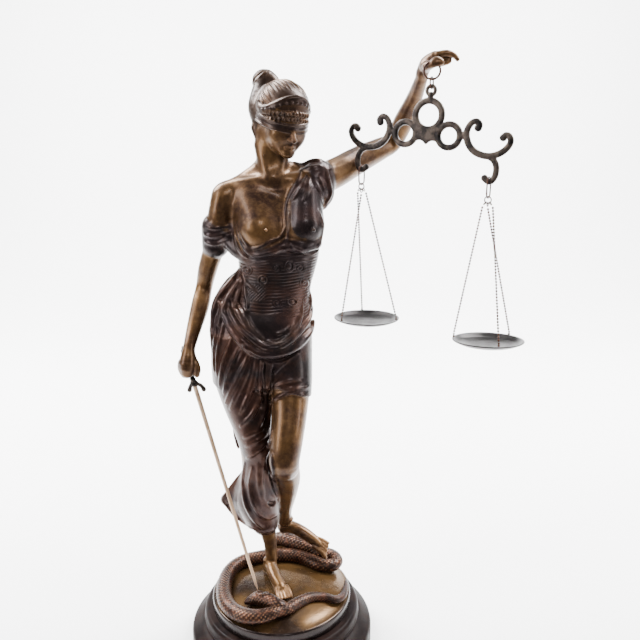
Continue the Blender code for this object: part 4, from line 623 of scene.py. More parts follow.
# %% Folds on the front and the back
def shape_folds(clay):
    clay.now = CLOTH
    clay.settle()
    # Shoulder knot, straps and the cloth over the left breast
    for line, wide, high in (
        (((39, 790), (33, 769), (21, 749), (14, 725), (15, 700)), 3.2, 2.6),
        (((47, 779), (39, 760), (28, 746), (21, 738)), 3.4, 2.6),
        (((50, 776), (47, 756), (40, 738)), 3.0, 2.2),
        (((55, 774), (64, 754), (71, 737)), 3.4, 2.8),
        (((62, 776), (72, 756), (75, 738)), 3.2, 2.6),
        (((74, 787), (78, 767), (81, 751), (74, 735)), 3.6, 3.0),
        (((26, 796), (39, 791), (53, 797), (68, 799)), 5.0, 4.0),
        (((36, 784), (50, 787), (68, 791)), 4.0, 3.0),
        (((61, 728), (69, 709), (66, 681), (59, 666)), 3.0, 2.2),
        (((16, 743), (19, 715), (18, 694), (16, 679), (20, 669)), 2.8, 2.4),
        # Swag under the right breast
        (((-60, 702), (-53, 682), (-43, 666), (-30, 660), (-12, 663), (5, 670),
          (14, 685)), 4.6, 4.2),
        (((-56, 700), (-48, 682), (-38, 670), (-26, 671), (-8, 681), (7, 687),
          (14, 703)), 3.2, 3.0),
        (((-63, 694), (-58, 673), (-49, 660), (-40, 654)), 3.4, 3.0),
        (((20, 678), (32, 670), (45, 661)), 3.2, 2.6),
        (((65, 669), (53, 661), (35, 658)), 3.0, 2.4),
        (((-57, 652), (-24, 648), (7, 655)), 3.0, 2.4),
        (((23, 655), (44, 652), (63, 657)), 3.0, 2.4),
        # Band of the sleeve round the right arm
        (((-106, 703), (-91, 700), (-66, 703)), 3.2, 2.6),
        (((-109, 691), (-92, 688), (-67, 696)), 3.4, 2.8),
        (((-108, 680), (-92, 676), (-69, 685)), 3.2, 2.6),
    ):
        clay.fold(line, wide, high, 2.0)
    # Rolled sash
    for line, wide, high in (
        (((-88, 591), (-78, 563), (-65, 539), (-50, 520), (-33, 508),
          (-11, 506), (11, 510), (31, 521), (48, 539), (55, 559)), 8.5, 9.0),
        (((-80, 591), (-67, 563), (-54, 544), (-38, 529), (-22, 518), (-3, 516),
          (17, 527), (34, 543), (48, 563), (52, 583)), 5.5, 8.0),
        (((-73, 594), (-59, 569), (-46, 548), (-32, 534), (-20, 527)), 4.4, 5.0),
        (((-62, 591), (-51, 570), (-43, 551), (-31, 537), (-21, 531)), 4.0, 4.0),
        (((-20, 527), (-3, 523), (12, 532), (28, 548), (36, 570),
          (38, 591)), 4.4, 4.6),
        (((-5, 536), (11, 541), (25, 556)), 3.6, 3.0),
        (((45, 566), (50, 588), (47, 609)), 4.4, 4.0),
        # Bunch of cloth at the right hip
        (((-62, 629), (-76, 611), (-89, 595), (-97, 575), (-101, 550)), 7.0, 6.0),
        (((-56, 623), (-67, 606), (-77, 589), (-85, 569), (-91, 548)), 5.0, 5.5),
        (((-52, 623), (-57, 606), (-63, 588), (-71, 569)), 4.6, 5.0),
        (((-47, 623), (-48, 605), (-45, 588), (-47, 569)), 4.6, 4.4),
        (((-53, 634), (-47, 619), (-37, 609), (-25, 599)), 4.0, 3.6),
    ):
        clay.fold(line, wide, high, 2.5)
    # Long folds of the skirt
    for line, wide, high in (
        (((-97, 572), (-102, 542), (-102, 505)), 4.0, 3.0),
        (((-92, 566), (-96, 536), (-99, 511), (-101, 475)), 4.0, 3.4),
        (((-83, 556), (-88, 536), (-94, 508), (-97, 469)), 3.8, 3.2),
        (((-71, 534), (-78, 511), (-87, 485), (-94, 452)), 4.4, 3.8),
        (((-58, 519), (-68, 497), (-78, 472), (-88, 439)), 4.2, 3.6),
        (((-44, 508), (-54, 485), (-67, 459), (-86, 422)), 4.4, 4.0),
        (((-43, 492), (-53, 467), (-64, 444), (-78, 412)), 4.2, 3.6),
        (((-33, 500), (-40, 461), (-49, 434), (-62, 405)), 4.6, 4.2),
        (((-25, 500), (-27, 462), (-32, 429), (-43, 405), (-63, 383)), 5.0, 5.0),
        (((-16, 498), (-20, 461), (-22, 424), (-27, 397), (-36, 378)), 4.6, 4.6),
        (((-11, 492), (-15, 461), (-17, 422), (-16, 381)), 4.4, 4.4),
        (((31, 507), (17, 497), (0, 482), (-15, 461)), 2.8, 2.2),
        (((10, 479), (-2, 467), (-15, 452)), 3.0, 2.2),
        (((-17, 421), (-6, 431), (10, 439), (30, 447), (52, 452)), 3.6, 3.2),
        (((-17, 442), (-4, 451), (12, 457), (38, 461)), 3.0, 2.6),
        # Lower robe, drawn round the shin
        (((-59, 364), (-41, 373), (-25, 381)), 3.6, 3.0),
        (((-56, 349), (-38, 359), (-20, 371)), 3.6, 3.0),
        (((-55, 328), (-38, 340), (-25, 354), (-15, 369)), 3.8, 3.2),
        (((-11, 381), (-16, 352), (-26, 326), (-31, 290), (-27, 262)), 4.0, 3.6),
        (((-13, 343), (-11, 312), (-5, 278), (-3, 249)), 4.0, 3.6),
        (((-26, 326), (-21, 298), (-15, 272), (-6, 256)), 3.8, 3.4),
        (((-44, 315), (-50, 278), (-42, 242), (-24, 222), (-4, 229)), 4.4, 4.0),
        (((-57, 322), (-61, 285), (-57, 247), (-44, 218), (-28, 201)), 4.4, 4.0),
        (((-35, 322), (-35, 285), (-29, 256), (-16, 240)), 3.8, 3.2),
        (((-65, 301), (-82, 276), (-96, 258)), 3.6, 3.0),
        (((-95, 251), (-82, 233), (-66, 216), (-43, 199)), 3.0, 2.4),
        (((-43, 197), (-25, 196), (-10, 201)), 3.0, 2.6),
    ):
        clay.fold(line, wide, high, 2.5)
    clay.settle()
    # Dark hollows between the folds
    for line, wide, deep in (
        (((-48, 510), (-32, 498), (-10, 494), (10, 498), (34, 511)), 4.0, 4.0),
        (((-54, 523), (-63, 502), (-73, 479)), 3.0, 2.6),
        (((-21, 492), (-23, 459), (-27, 426), (-39, 399)), 2.6, 2.8),
        (((-7, 489), (-11, 456), (-11, 422), (-10, 378)), 2.8, 3.0),
        (((-15, 361), (-19, 326), (-23, 301)), 2.6, 2.4),
        (((-21, 249), (-14, 247), (-7, 249)), 4.0, 5.0),
        (((17, 741), (16, 719), (16, 694)), 1.8, 1.8),
        (((-55, 649), (-57, 634), (-65, 622)), 2.4, 2.4),
    ):
        clay.groove(line, wide, deep, 2.0)
    # Folds of the back
    for k in range(9):
        across = -88 + 17 * k
        line = (
            (across * 0.9 + 4, 545), (across + 2 * (k % 2), 480), (across * 0.82 - 8, 410),
            (across * 0.6 - 14, 345), (across * 0.4 - 18, 280), (across * 0.25 - 22, 225),
        )
        clay.fold(line[:6 if 1 < k < 7 else 4], 6.0, 4.0, 4.0, behind=True)
    for k in range(3):
        up = 545 + 13 * k
        line = ((-98, up + 14), (-60, up - 4), (-20, up - 10), (20, up - 2), (50, up + 12))
        clay.fold(line, 6.5, 6.0, 3.0, behind=True)


print("folds are written")

# %% [markdown]
# ## Ground, and reading out the clay
#
# The figure and its round of ground are one casting. A coarse block is fine enough for cloth, but
# the head, hands and feet are read from small blocks of their own with closer points, and the
# coarse faces are left out there. The small blocks hold no folds. Elsewhere the distances are the
# same in every block, so their edges meet closely.

# %% Blocks of clay, coarse and fine
PLINTH_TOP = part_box("plinth")[1].z / TO_METRES
DISC_SHARE, DISC_THICK = 0.763, 20
DISC = 0.5 * (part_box("plinth")[1].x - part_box("plinth")[0].x) / TO_METRES * DISC_SHARE
DISC_TOP = PLINTH_TOP + DISC_THICK


def shape_ground(clay):
    clay.now = GROUND
    rows = ((PLINTH_TOP - 12, DISC), (DISC_TOP - 2, DISC), (DISC_TOP, DISC - 2))
    clay.column([(z, 0, 0, r, r) for z, r in rows], 2)
    clay.ball((0, 0, DISC_TOP - 6), (DISC - 5, DISC - 5, 22), 4)
    clay.ball((2, 86, DISC_TOP + 12), (34, 9, 17), 4)


def shape_all(low, high, step, folds=True):
    clay = Clay(low, high, step)
    for shape in (shape_ground, shape_body, shape_feet, shape_hands, shape_head, shape_hair,
                  shape_bands, shape_robe):
        shape(clay)
    if folds:
        shape_folds(clay)
    return clay


# Lowest corner, highest corner and point distance of each block, in millimetres
WHOLE_BOX = ((-165, -135, 58), (262, 135, 962), 1.8)
FINE_BOXES = {
    "head": ((-34, -54, 806), (66, 58, 922), 0.95),
    "left hand": ((206, -60, 900), (272, 50, 960), 0.8),
    "right hand": ((-170, -62, 470), (-118, 8, 546), 0.8),
    "right foot": ((-40, -80, 84), (24, 40, 150), 0.9),
    "left foot": ((-8, -40, 108), (70, 90, 180), 1.0),
}
QUICK_SHARE = 1.0


def inside(points, box, margin):
    low, high = np.array(box[0]) + margin, np.array(box[1]) - margin
    return ((points > low) & (points < high)).all(-1)


blocks = {"whole": shape_all(*WHOLE_BOX[:2], WHOLE_BOX[2] * QUICK_SHARE)}
for name, (low, high, step) in FINE_BOXES.items():
    grown = np.array(low) - 4, np.array(high) + 4
    blocks[name] = shape_all(*grown, step * QUICK_SHARE, folds=False)

for name, clay in blocks.items():
    print(name, "block of", int(np.prod(clay.count)), "points")

# %% [markdown]
# ## From clay to pieces
#
# A surface read from clay is a cloud of small triangles. Each of its points also gets a few marks
# that the patina needs later: what it is (skin, cloth, hair, band or ground), how deep it lies in
# a hollow, and how much it stands out on an edge. A sculptor's patina follows just these things,
# so the marks are measured on the clay instead of painted by hand.

# %% Meshes from whole arrays
def new_mesh(name, points, faces, marks=None):
    """A mesh from points in metres and an array of faces with the same number of corners."""
    mesh = bpy.data.meshes.new(name)
    points, faces = np.asarray(points, np.float32), np.asarray(faces, np.int32)
    corners = faces.shape[1]
    mesh.vertices.add(len(points))
    mesh.vertices.foreach_set("co", points.ravel())
    mesh.loops.add(faces.size)
    mesh.loops.foreach_set("vertex_index", faces.ravel())
    mesh.polygons.add(len(faces))
    mesh.polygons.foreach_set("loop_start", np.arange(len(faces), dtype=np.int32) * corners)
    mesh.polygons.foreach_set("use_smooth", np.ones(len(faces), bool))
    for mark, values in (marks or {}).items():
        mesh.attributes.new(mark, "FLOAT", "POINT").data.foreach_set(
            "value", np.asarray(values, np.float32))
    mesh.update()
    mesh.validate()
    thing = bpy.data.objects.new(name, mesh)
    bpy.context.scene.collection.objects.link(thing)
    return thing


pieces = {}


def show(thing, nodes, look):
    """Lets a piece stand for the solids it covers, with its material."""
    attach(thing, "root")
    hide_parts(*nodes)
    pieces[thing.name] = look
    return thing


def clay_marks(clay, points):
    """Shares of each kind near a point, how hollow it is there and how far it stands out.

    hollow = 1 - mean(distance at d outside / d), edge = 1 - (depth at d inside / d)."""
    out = clay.slope(points, 2.2 * clay.step, clay.value)
    corners = np.array(np.meshgrid(*[(-1, 1)] * 3)).reshape(3, -1).T * 0.8 * clay.step
    marks = {}
    for name, kind in (("skin", SKIN), ("cloth", CLOTH), ("hair", HAIR), ("band", BAND)):
        near = [clay.read(points + c, clay.kind) == kind for c in corners]
        marks[name] = np.mean(near, axis=0)
    open_air = [np.clip(clay.read(points + out * d, clay.value) / d, 0, 1) for d in (2.5, 5.0, 9.0)]
    marks["hollow"] = 1 - np.mean(open_air, axis=0)
    inner = [np.clip(-clay.read(points - out * d, clay.value) / d, 0, 1) for d in (3.0, 6.0)]
    marks["edge"] = 1 - np.mean(inner, axis=0)
    marks["rim"] = np.clip((np.hypot(points[:, 0], points[:, 1]) - DISC + 3.5) / 2, 0, 1)
    return marks


def figure_piece(name, points, faces, marks, kept):
    """A piece of the figure from the kept faces and only the points that they use."""
    used, faces = np.unique(faces[kept], return_inverse=True)
    faces = faces.reshape(-1, 3)
    thing = new_mesh(name, points[used] * TO_METRES, faces, {k: v[used] for k, v in marks.items()})
    print(name, "has", len(faces), "faces")
    return show(thing, ["figure"], "bronze")


# %% The figure in pieces
WAIST = 530
points, faces = blocks["whole"].surface()
marks = clay_marks(blocks["whole"], points)
middles = points[faces].mean(1)
low_side = middles[:, 2] < PLINTH_TOP + 0.4
fine = np.any([inside(middles, box, 0.5) for box in FINE_BOXES.values()], axis=0)
kind = np.round(blocks["whole"].read(middles, blocks["whole"].kind))
bare, above = ~(fine | low_side), middles[:, 2] > WAIST
for name, kept in (
    ("ground", kind == GROUND), ("body", (kind != GROUND) & (kind != CLOTH)),
    ("bodice", (kind == CLOTH) & above), ("skirt", (kind == CLOTH) & ~above),
):
    figure_piece(name, points, faces, marks, bare & kept)
for name, box in FINE_BOXES.items():
    points, faces = blocks[name].surface()
    marks = clay_marks(blocks[name], points)
    figure_piece(name.replace(" ", "_"), points, faces, marks, inside(points[faces].mean(1), box, 0.0))

# %% [markdown]
# ## The corset
#
# The corset is cast with close ribs, a lattice and a few bosses, finer than the clay can hold. It
# is a shell of its own over the trunk: round each level runs an oval, and the relief lifts it by
# a height that is a sum of simple bumps. A rib is the root of a sine of height, a boss is a dome
# with a rim, and a scroll is a spiral line. All bumps are laid out as they are seen from in front.

# %% Corset as a ribbed shell
def drawn_on(points):
    """Where points are seen from the eye, on the upright plane, in millimetres."""
    share = -EYE[1] / (points[..., 1] - EYE[1])
    return EYE[0] + (points[..., 0] - EYE[0]) * share, EYE[2] + (points[..., 2] - EYE[2]) * share


def dome(u, v, middle, half_wide, half_high):
    """A boss inside an oval: one half of a ball, and a rim where the oval's radius is one."""
    r = np.sqrt(((u - middle[0]) / half_wide)**2 + ((v - middle[1]) / half_high)**2)
    ball = np.sqrt(np.clip(1 - (r / 0.55)**2, 0, 1))
    return np.maximum(1.1 * ball, 0.9 * np.exp(-((r - 0.9) / 0.16)**2)), r < 1.1


def spiral(u, v, middle, size, turns, hand=1):
    """A scroll: a ridge where radius and angle keep step, r = size * (angle / full angle)."""
    x, y = (u - middle[0]) * hand, v - middle[1]
    r, angle = np.hypot(x, y), np.arctan2(y, x)
    wound = (r / size * turns - angle / (2 * math.pi)) % 1.0
    return 0.9 * np.exp(-((wound - 0.5) / 0.2)**2) * (r < size), r < size * 1.05


def ring_shell(level_rows, heights, turns, lift):
    """Ovals at the given heights; lift(u, v, angle, height) moves each point out."""
    rows = smooth_path([(row[1], row[2], row[0], row[3], row[4]) for row in level_rows], 3.0)
    rows = rows[np.argsort(rows[:, 2])]
    cx, cy, a, b = (np.interp(heights, rows[:, 2], rows[:, k])[:, None] for k in (0, 1, 3, 4))
    points = np.stack(np.broadcast_arrays(
        cx + a * np.sin(turns), cy - b * np.cos(turns), heights[:, None]), -1)
    out = np.stack(np.broadcast_arrays(b * np.sin(turns), -a * np.cos(turns), 0 * a), -1)
    out /= np.linalg.norm(out, axis=-1, keepdims=True)
    high = lift(*drawn_on(points), turns[None, :], heights[:, None])
    return points + out * high[..., None], high


def grid_faces(rows, columns, around=True, along=False):
    """Four-cornered faces of a grid of points. around says that each row closes into a ring, along
    that the last row joins the first."""
    i, j = np.meshgrid(np.arange(rows - (not along)), np.arange(columns - (not around)), indexing="ij")
    m, n = (i + 1) % rows * columns, (j + 1) % columns
    return np.stack((i * columns + j, i * columns + n, m + n, m + j), -1).reshape(-1, 4)


def spokes(angle, one, two):
    """Directions round a ring: cos(angle) along one and sin(angle) along two."""
    return np.cos(angle)[:, None] * one[..., None, :] + np.sin(angle)[:, None] * two[..., None, :]


def corset_lift(u, v, angle, height):
    front = np.cos(angle) > 0.15
    sag = 5.0 * np.clip(np.cos(angle), 0, 1)**2
    rib = np.abs(np.sin(math.pi * (height + sag * (1 + (640 - height) / 60)) / 4.4))**0.6
    high = 0.5 + 0.9 * rib * np.ones_like(u)
    lattice = np.abs(np.sin((u + v) * 0.62)) * np.abs(np.sin((u - v) * 0.62))
    panel = front & (np.abs(u - PANEL[0]) < 14) & (np.abs(v - PANEL[1]) < 12)
    high = np.where(panel, 0.5 + 1.3 * np.sqrt(lattice), high)
    for middle, wide, tall in ((MEDAL, 7.0, 9.5), (BOSS, 7.6, 7.6), (LOW_BOSS, 8.0, 6.0)):
        bump, where = dome(u, v, middle, wide, tall)
        high = np.where(where & front, 0.5 + 1.9 * bump, high)
    for middle, size, hand in SCROLLS:
        bump, where = spiral(u, v, middle, size, 1.6, hand)
        high = np.where(where & front, 0.5 + 1.5 * bump, high)
    seam = np.exp(-((np.abs(angle) - math.pi) / 0.035)**2) + 0.0 * u
    return high + 1.2 * seam


MEDAL, BOSS, LOW_BOSS, PANEL = (18, 643), (-21, 622), (22, 588), (-31, 602)
SCROLLS = (
    ((-45, 636), 8.5, 1), ((41, 617), 8.0, -1), ((-1, 640), 6.5, -1), ((35, 640), 6.5, 1),
    ((-1, 586), 7.0, 1), ((44, 589), 6.5, -1),
)
heights = np.linspace(542, 674, 170)
turns = np.linspace(-math.pi, math.pi, 336, endpoint=False)
shell, high = ring_shell(TRUNK, heights, turns, corset_lift)
shell_marks = {
    "cloth": np.ones(high.size), "hollow": np.clip(0.62 - 0.45 * high, 0, 1).ravel(),
    "edge": np.clip(0.40 * high - 0.35, 0, 1).ravel(), "corset": np.ones(high.size),
}
corset = new_mesh("corset", shell.reshape(-1, 3) * TO_METRES,
                  grid_faces(len(heights), len(turns)), shell_marks)
show(corset, ["figure"], "bronze")
print("corset relief from", round(high.min(), 2), "to", round(high.max(), 2), "mm")

# %% [markdown]
# ## The snake
#
# The snake lies in one coil on the round of ground and crosses itself. Its body is a ring carried
# along a smooth path, flatter underneath. Scales are diamonds: two sines that run round the body in
# opposite slants, multiplied, are high in the middle of each diamond and nought along its sides.

# %% Snake as a scaled tube
def carried_rings(path, sides):
    """Outward directions and angles of rings carried along a path, with no twist: the upright
    part of each ring's frame is what is left of +Z off the path's direction."""
    go = np.gradient(path, axis=0)
    go /= np.linalg.norm(go, axis=1, keepdims=True)
    up = np.array((0.0, 0.0, 1.0)) - go * go[:, 2:3]
    up /= np.linalg.norm(up, axis=1, keepdims=True)
    angle = np.linspace(0, 2 * math.pi, sides, endpoint=False)
    return spokes(angle, up, np.cross(go, up)), angle


def snake_part(name, rows):
    """One length of the snake: scales all over, and a rimmed dent round the sword's hole."""
    rows = smooth_path([(x, y, z, r * SNAKE_RADIUS) for x, y, z, r in rows], 1.1)
    path, radii = rows[:, :3], rows[:, 3]
    out, angle = carried_rings(path, 56)
    along = np.concatenate(([0], np.cumsum(np.linalg.norm(np.diff(path, axis=0), axis=1))))
    far = along[:, None]
    slant, turns = math.pi * far / SCALE_LENGTH, SCALES_ROUND * angle
    scale = np.abs(np.sin(slant + turns) * np.sin(slant - turns))
    back = np.clip(1.2 + 1.6 * np.cos(angle), 0, 1)
    uneven = 0.72 + 0.28 * np.sin(1.7 * far + 5 * angle) * np.sin(0.63 * far - 3 * angle)
    shape = uneven * scale**0.6 * back * np.clip(radii[:, None] / 9, 0, 1)
    flatter = 1 - 0.10 * np.clip(-np.cos(angle), 0, 1)
    size = radii[:, None] * flatter - 0.3 + SCALE_HEIGHT * shape
    skin = path[:, None, :] + out * size[..., None]
    away = np.hypot(skin[..., 0] - SWORD_HOLE[0], skin[..., 1] - SWORD_HOLE[1])
    away = away + 9 * (skin[..., 2] < 111)
    size = size + 2.6 * np.exp(-((away - 7.5) / 2.2)**2) - 7 * np.exp(-(away / 4.8)**2)
    points = path[:, None, :] + out * size[..., None]
    points[0], points[-1] = path[0], path[-1]
    marks = {
        "snake": np.ones(shape.size),
        "hollow": np.clip(0.8 - shape + np.exp(-(away / 5)**2), 0, 1).ravel(),
        "edge": np.clip(shape - 0.45, 0, 1).ravel() * 1.6,
    }
    faces = grid_faces(len(path), len(angle))[:, ::-1]
    thing = new_mesh(name, points.reshape(-1, 3) * TO_METRES, faces, marks)
    print(name, "is", round(along[-1]), "mm long,", len(faces), "faces")
    return show(thing, ["figure"], "bronze")


COIL = (
    (-26, 84, 110, 0.5), (-19, 94, 117, 0.95), (-4, 94, 124, 1.15), (14, 85, 123.5, 1.15),
    (42, 72, 121, 1.06), (67, 60, 117, 1.0), (86, 59, 112, 0.95), (94, 50, 108, 0.92),
    (86, 38, 107, 0.95), (65, 38, 108, 1.0), (37, 56, 109, 1.05), (8, 63, 110, 1.05),
    (-21, 62, 110, 1.0), (-46, 59, 108, 0.98), (-68, 51, 107, 0.98), (-85, 35, 106, 0.98),
    (-94, 11, 105, 0.98), (-95, -21, 104, 1.0), (-89, -51, 103, 1.0), (-75, -75, 103, 1.0),
    (-56, -90, 104, 1.0), (-35, -95, 105, 0.95), (-15, -91, 106, 0.9), (0, -84, 107, 0.75),
    (8, -78, 107, 0.5),
)
HEAD = (
    (10, -80, 106, 0.6), (5, -76, 108, 0.8), (-3, -74, 111, 0.85), (-18, -65, 112, 0.95),
    (-35, -59, 111, 0.92), (-48, -60, 108, 0.6), (-55, -62, 106, 0.3), (-57, -62.5, 105.5, 0.12),
)
TAIL = (
    (-20, -87, 103, 0.5), (-11, -84, 104, 0.8), (11, -77, 104, 0.8), (31, -59, 104, 0.78),
    (50, -46, 103, 0.72), (72, -42, 101, 0.62), (90, -45, 99, 0.55), (102, -34, 98, 0.48),
    (108, -13, 98, 0.36), (109, 4, 99, 0.2), (108.5, 8, 99.5, 0.08),
)
SNAKE_RADIUS, SWORD_HOLE = 12.2, (-28.0, -57.0)
SCALE_LENGTH, SCALE_HEIGHT, SCALES_ROUND = 6.4, 1.25, 6
for name, rows in (("snake_coil", COIL), ("snake_head", HEAD), ("snake_tail", TAIL)):
    snake_part(name, rows)

# %% [markdown]
# ## Plinth and pans
#
# Plinth and pans are turned work: a profile drawn once and spun round an upright axis. The plinth
# has two steps with a hollow moulding between them. A pan is a thin dish with a rolled lip; its
# profile goes out under the dish and comes back inside, so the wall has a real thickness.

# %% Turned pieces
def rounded(profile, radius, steps=5):
    """A profile of (radius, height) rows with its inner corners cut by arcs: each corner is left
    at radius from it and the way round is the quadratic curve with the corner as its pull."""
    rows = np.array(profile, float)
    parts = [rows[:1]]
    for a, b, c in zip(rows[:-2], rows[1:-1], rows[2:]):
        before, after = np.linalg.norm(a - b), np.linalg.norm(c - b)
        near = min(radius, 0.45 * before, 0.45 * after)
        t = np.linspace(0, 1, steps)[:, None]
        start, end = b + (a - b) * near / before, b + (c - b) * near / after
        parts.append((1 - t)**2 * start + 2 * t * (1 - t) * b + t**2 * end)
    parts.append(rows[-1:])
    return np.vstack(parts)


def spun(name, profile, sides, middle=(0, 0, 0), tip=None):
    """A profile spun round the upright axis: x = r cos t, y = r sin t, z = height; tip is a
    matrix that leans it."""
    profile = np.array(profile, float)
    t = np.linspace(0, 2 * math.pi, sides, endpoint=False)
    r, z = profile[:, :1], profile[:, 1:2]
    points = np.stack(np.broadcast_arrays(r * np.cos(t), r * np.sin(t), z), -1).reshape(-1, 3)
    points = points @ (np.eye(3) if tip is None else tip) + np.array(middle)
    return new_mesh(name, points, grid_faces(len(profile), sides))


low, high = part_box("plinth")
WIDE, TALL = (high.x - low.x) / 2, high.z
TIER_SHARE, DRUM_SHARE = 0.8355, 0.54
TIER, drum = WIDE * TIER_SHARE, TALL * DRUM_SHARE
plinth_profile = [
    (0, 0), (WIDE - 0.003, 0), (WIDE, 0.003), (WIDE, drum - 0.008), (WIDE - 0.0015, drum - 0.003),
    (WIDE - 0.006, drum), (TIER + 0.008, drum + 0.008), (TIER + 0.003, drum + 0.010),
    (TIER + 0.002, drum + 0.013), (TIER + 0.004, drum + 0.016), (TIER + 0.002, TALL - 0.004),
    (TIER - 0.002, TALL), (0, TALL),
]
plinth = spun("plinth_turned", rounded(plinth_profile, 0.0022), 192)
show(plinth, ["plinth"], "wood")

PAN_SLOPES, PAN_WALL = {"left": 0.0, "right": 0.05}, 0.0014
for side, slope in PAN_SLOPES.items():
    low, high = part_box("pan_" + side)
    r, w = (high.x - low.x) / 2, PAN_WALL
    middle = np.array(((low.x + high.x) / 2, (low.y + high.y) / 2, high.z - slope * r))
    d = middle[2] - low.z - slope * r * 0.14
    dish = [
        (0, -d), (r * 0.3, -d * 0.985), (r * 0.55, -d * 0.88), (r * 0.8, -d * 0.6), (r * 0.94, -d * 0.3),
        (r * 0.995, -0.0016), (r, -0.0004), (r - 0.0008, 0.0), (r - 0.0034, -0.0006),
        (r - 0.0050, -0.0018), (r * 0.82, w - d * 0.62), (r * 0.55, w - d * 0.87), (r * 0.3, w - d * 0.97),
        (0, w - d),
    ]
    tip = np.array(((1, 0, 0), (0, 1, -slope), (0, slope, 1)))
    pan = spun(f"pan_{side}_dish", rounded(dish, 0.003, 4), 120, middle, tip=tip)
    show(pan, ["pan_" + side], "pewter")
print("plinth", round(2 * WIDE * 1000), "mm wide, pans", round(2 * r * 1000), "mm wide")

# %% [markdown]
# ## Sword and beam
#
# The sword's hilt and the flat cast beam are small clay blocks of their own. The beam is drawn in
# its own plane as bars that curl into rings, scrolls and hooks, then cut flat on both faces with
# rounded edges, and last turned to where it hangs.

# %% Beam and sword
BEAM_HALF_LENGTH, BEAM_END_BACK, BEAM_HALF_THICK = 123.0, 59.6, 3.15
BEAM_YAW, BEAM_TILT = -math.asin(BEAM_END_BACK / BEAM_HALF_LENGTH), math.radians(4.2)
BEAM_ALONG = np.array((math.cos(BEAM_YAW) * math.cos(BEAM_TILT),
                       math.sin(BEAM_YAW) * math.cos(BEAM_TILT), -math.sin(BEAM_TILT)))
BEAM_SIDE = np.array((-math.sin(BEAM_YAW), math.cos(BEAM_YAW), 0.0))
BEAM_UP = np.cross(BEAM_ALONG, BEAM_SIDE)
link_low, link_high = (np.array(corner) / TO_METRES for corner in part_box("beam_link"))
link_middle = (link_low + link_high) / 2
EYE_RISE, EYE_HOLE, EYE_RADIUS = 33.0, 4.0, 6.1
BAR_FATTER, CURL_FATTER = 0.5, 0.3
beam_eye = np.array((link_middle[0], link_middle[1], link_low[2] + 2.5)) - BEAM_UP * EYE_HOLE
BEAM_MIDDLE = beam_eye - BEAM_UP * EYE_RISE


def shape_beam():
    clay = Clay((-132, -5.4, -92), (132, 5.4, 46), 0.8 * QUICK_SHARE)

    def bar(rows, soft=1.0):
        clay.limb([(a, 0, u, w + BAR_FATTER) for a, u, w in rows], soft, step=2)

    def ring(along, up, radius, wide, soft=1.0, points=41):
        t = np.linspace(0, 2 * math.pi, points)
        bar(np.column_stack((along + radius * np.cos(t), up + radius * np.sin(t), 0 * t + wide)), soft)

    ring(0, 0, 19.4, 4.1)
    for side in (-1, 1):
        ring(side * 32.7, -26.4, 15.8, 3.9)
        for rows in CURLS:
            bar([(side * a, u, w + CURL_FATTER) for a, u, w in rows])
        bar([(side * 8, -22, 4.5), (side * 19, -17, 4.0)], 2.0)
        bar([(side * 3, -26, 7), (side * 13, -30, 4.5)], 2.0)
        bar([(0, -34.5, 3.0), (side * 12, -29, 3.0)], 1.5)
        bar([(side * 49, -27, 3.2), (side * 57, -22, 3.6)], 2.0)
    bar([(0, -25, 7.0), (0, -33.5, 4.0), (0, -37.5, 1.8)], 2.0)
    bar([(0, 23.0, 3.6), (0, 27.5, 3.4)])
    ring(0, EYE_RISE, EYE_RADIUS, 2.1, 0.6, 33)
    # Cut flat on both faces; the edge between face and side is rounded as in a carved join
    face, round_edge = np.abs(clay.points((0, 0, 0), clay.count)[1]) - BEAM_HALF_THICK, 1.6
    mix = np.clip(0.5 - 0.5 * (clay.value - face) / round_edge, 0, 1)
    cut = clay.value + (face - clay.value) * mix + round_edge * mix * (1 - mix)
    clay.value = cut.astype(np.float32)
    return clay


CURLS = (
    (
        (73.0, -13.0, 4.6), (74.2, -8.5, 3.6), (69.3, -4.8, 3.4), (62.0, -8.5, 3.4),
        (57.5, -21.0, 3.8), (62.5, -36.0, 4.0), (74.0, -46.0, 4.0), (90.0, -49.6, 3.8),
        (104.0, -46.3, 3.8), (114.5, -38.5, 3.7), (119.4, -29.0, 3.4), (116.5, -21.5, 3.3),
        (111.5, -20.5, 3.3), (108.8, -24.0, 4.2),
    ),
    (
        (93.0, -50.5, 3.2), (99.5, -54.0, 3.4), (104.4, -62.5, 3.5), (104.6, -74.0, 3.5),
        (100.8, -81.8, 3.4), (95.6, -83.2, 3.3), (90.4, -79.0, 4.0),
    ),
)
beam_clay = shape_beam()
points, faces = beam_clay.surface()
marks = clay_marks(beam_clay, points)
turned_points = (BEAM_MIDDLE + points[:, :1] * BEAM_ALONG + points[:, 1:2] * BEAM_SIDE
                 + points[:, 2:] * BEAM_UP)
beam = new_mesh("beam_scrolls", turned_points * TO_METRES, faces, marks)
show(beam, ["beam"], "dark_bronze")
print("beam faces", len(faces))

SWORD_GUARD = at(-133, 456, -20)
SWORD_TIP = at(-41, 84, -52)
go = (SWORD_GUARD - SWORD_TIP) / np.linalg.norm(SWORD_GUARD - SWORD_TIP)


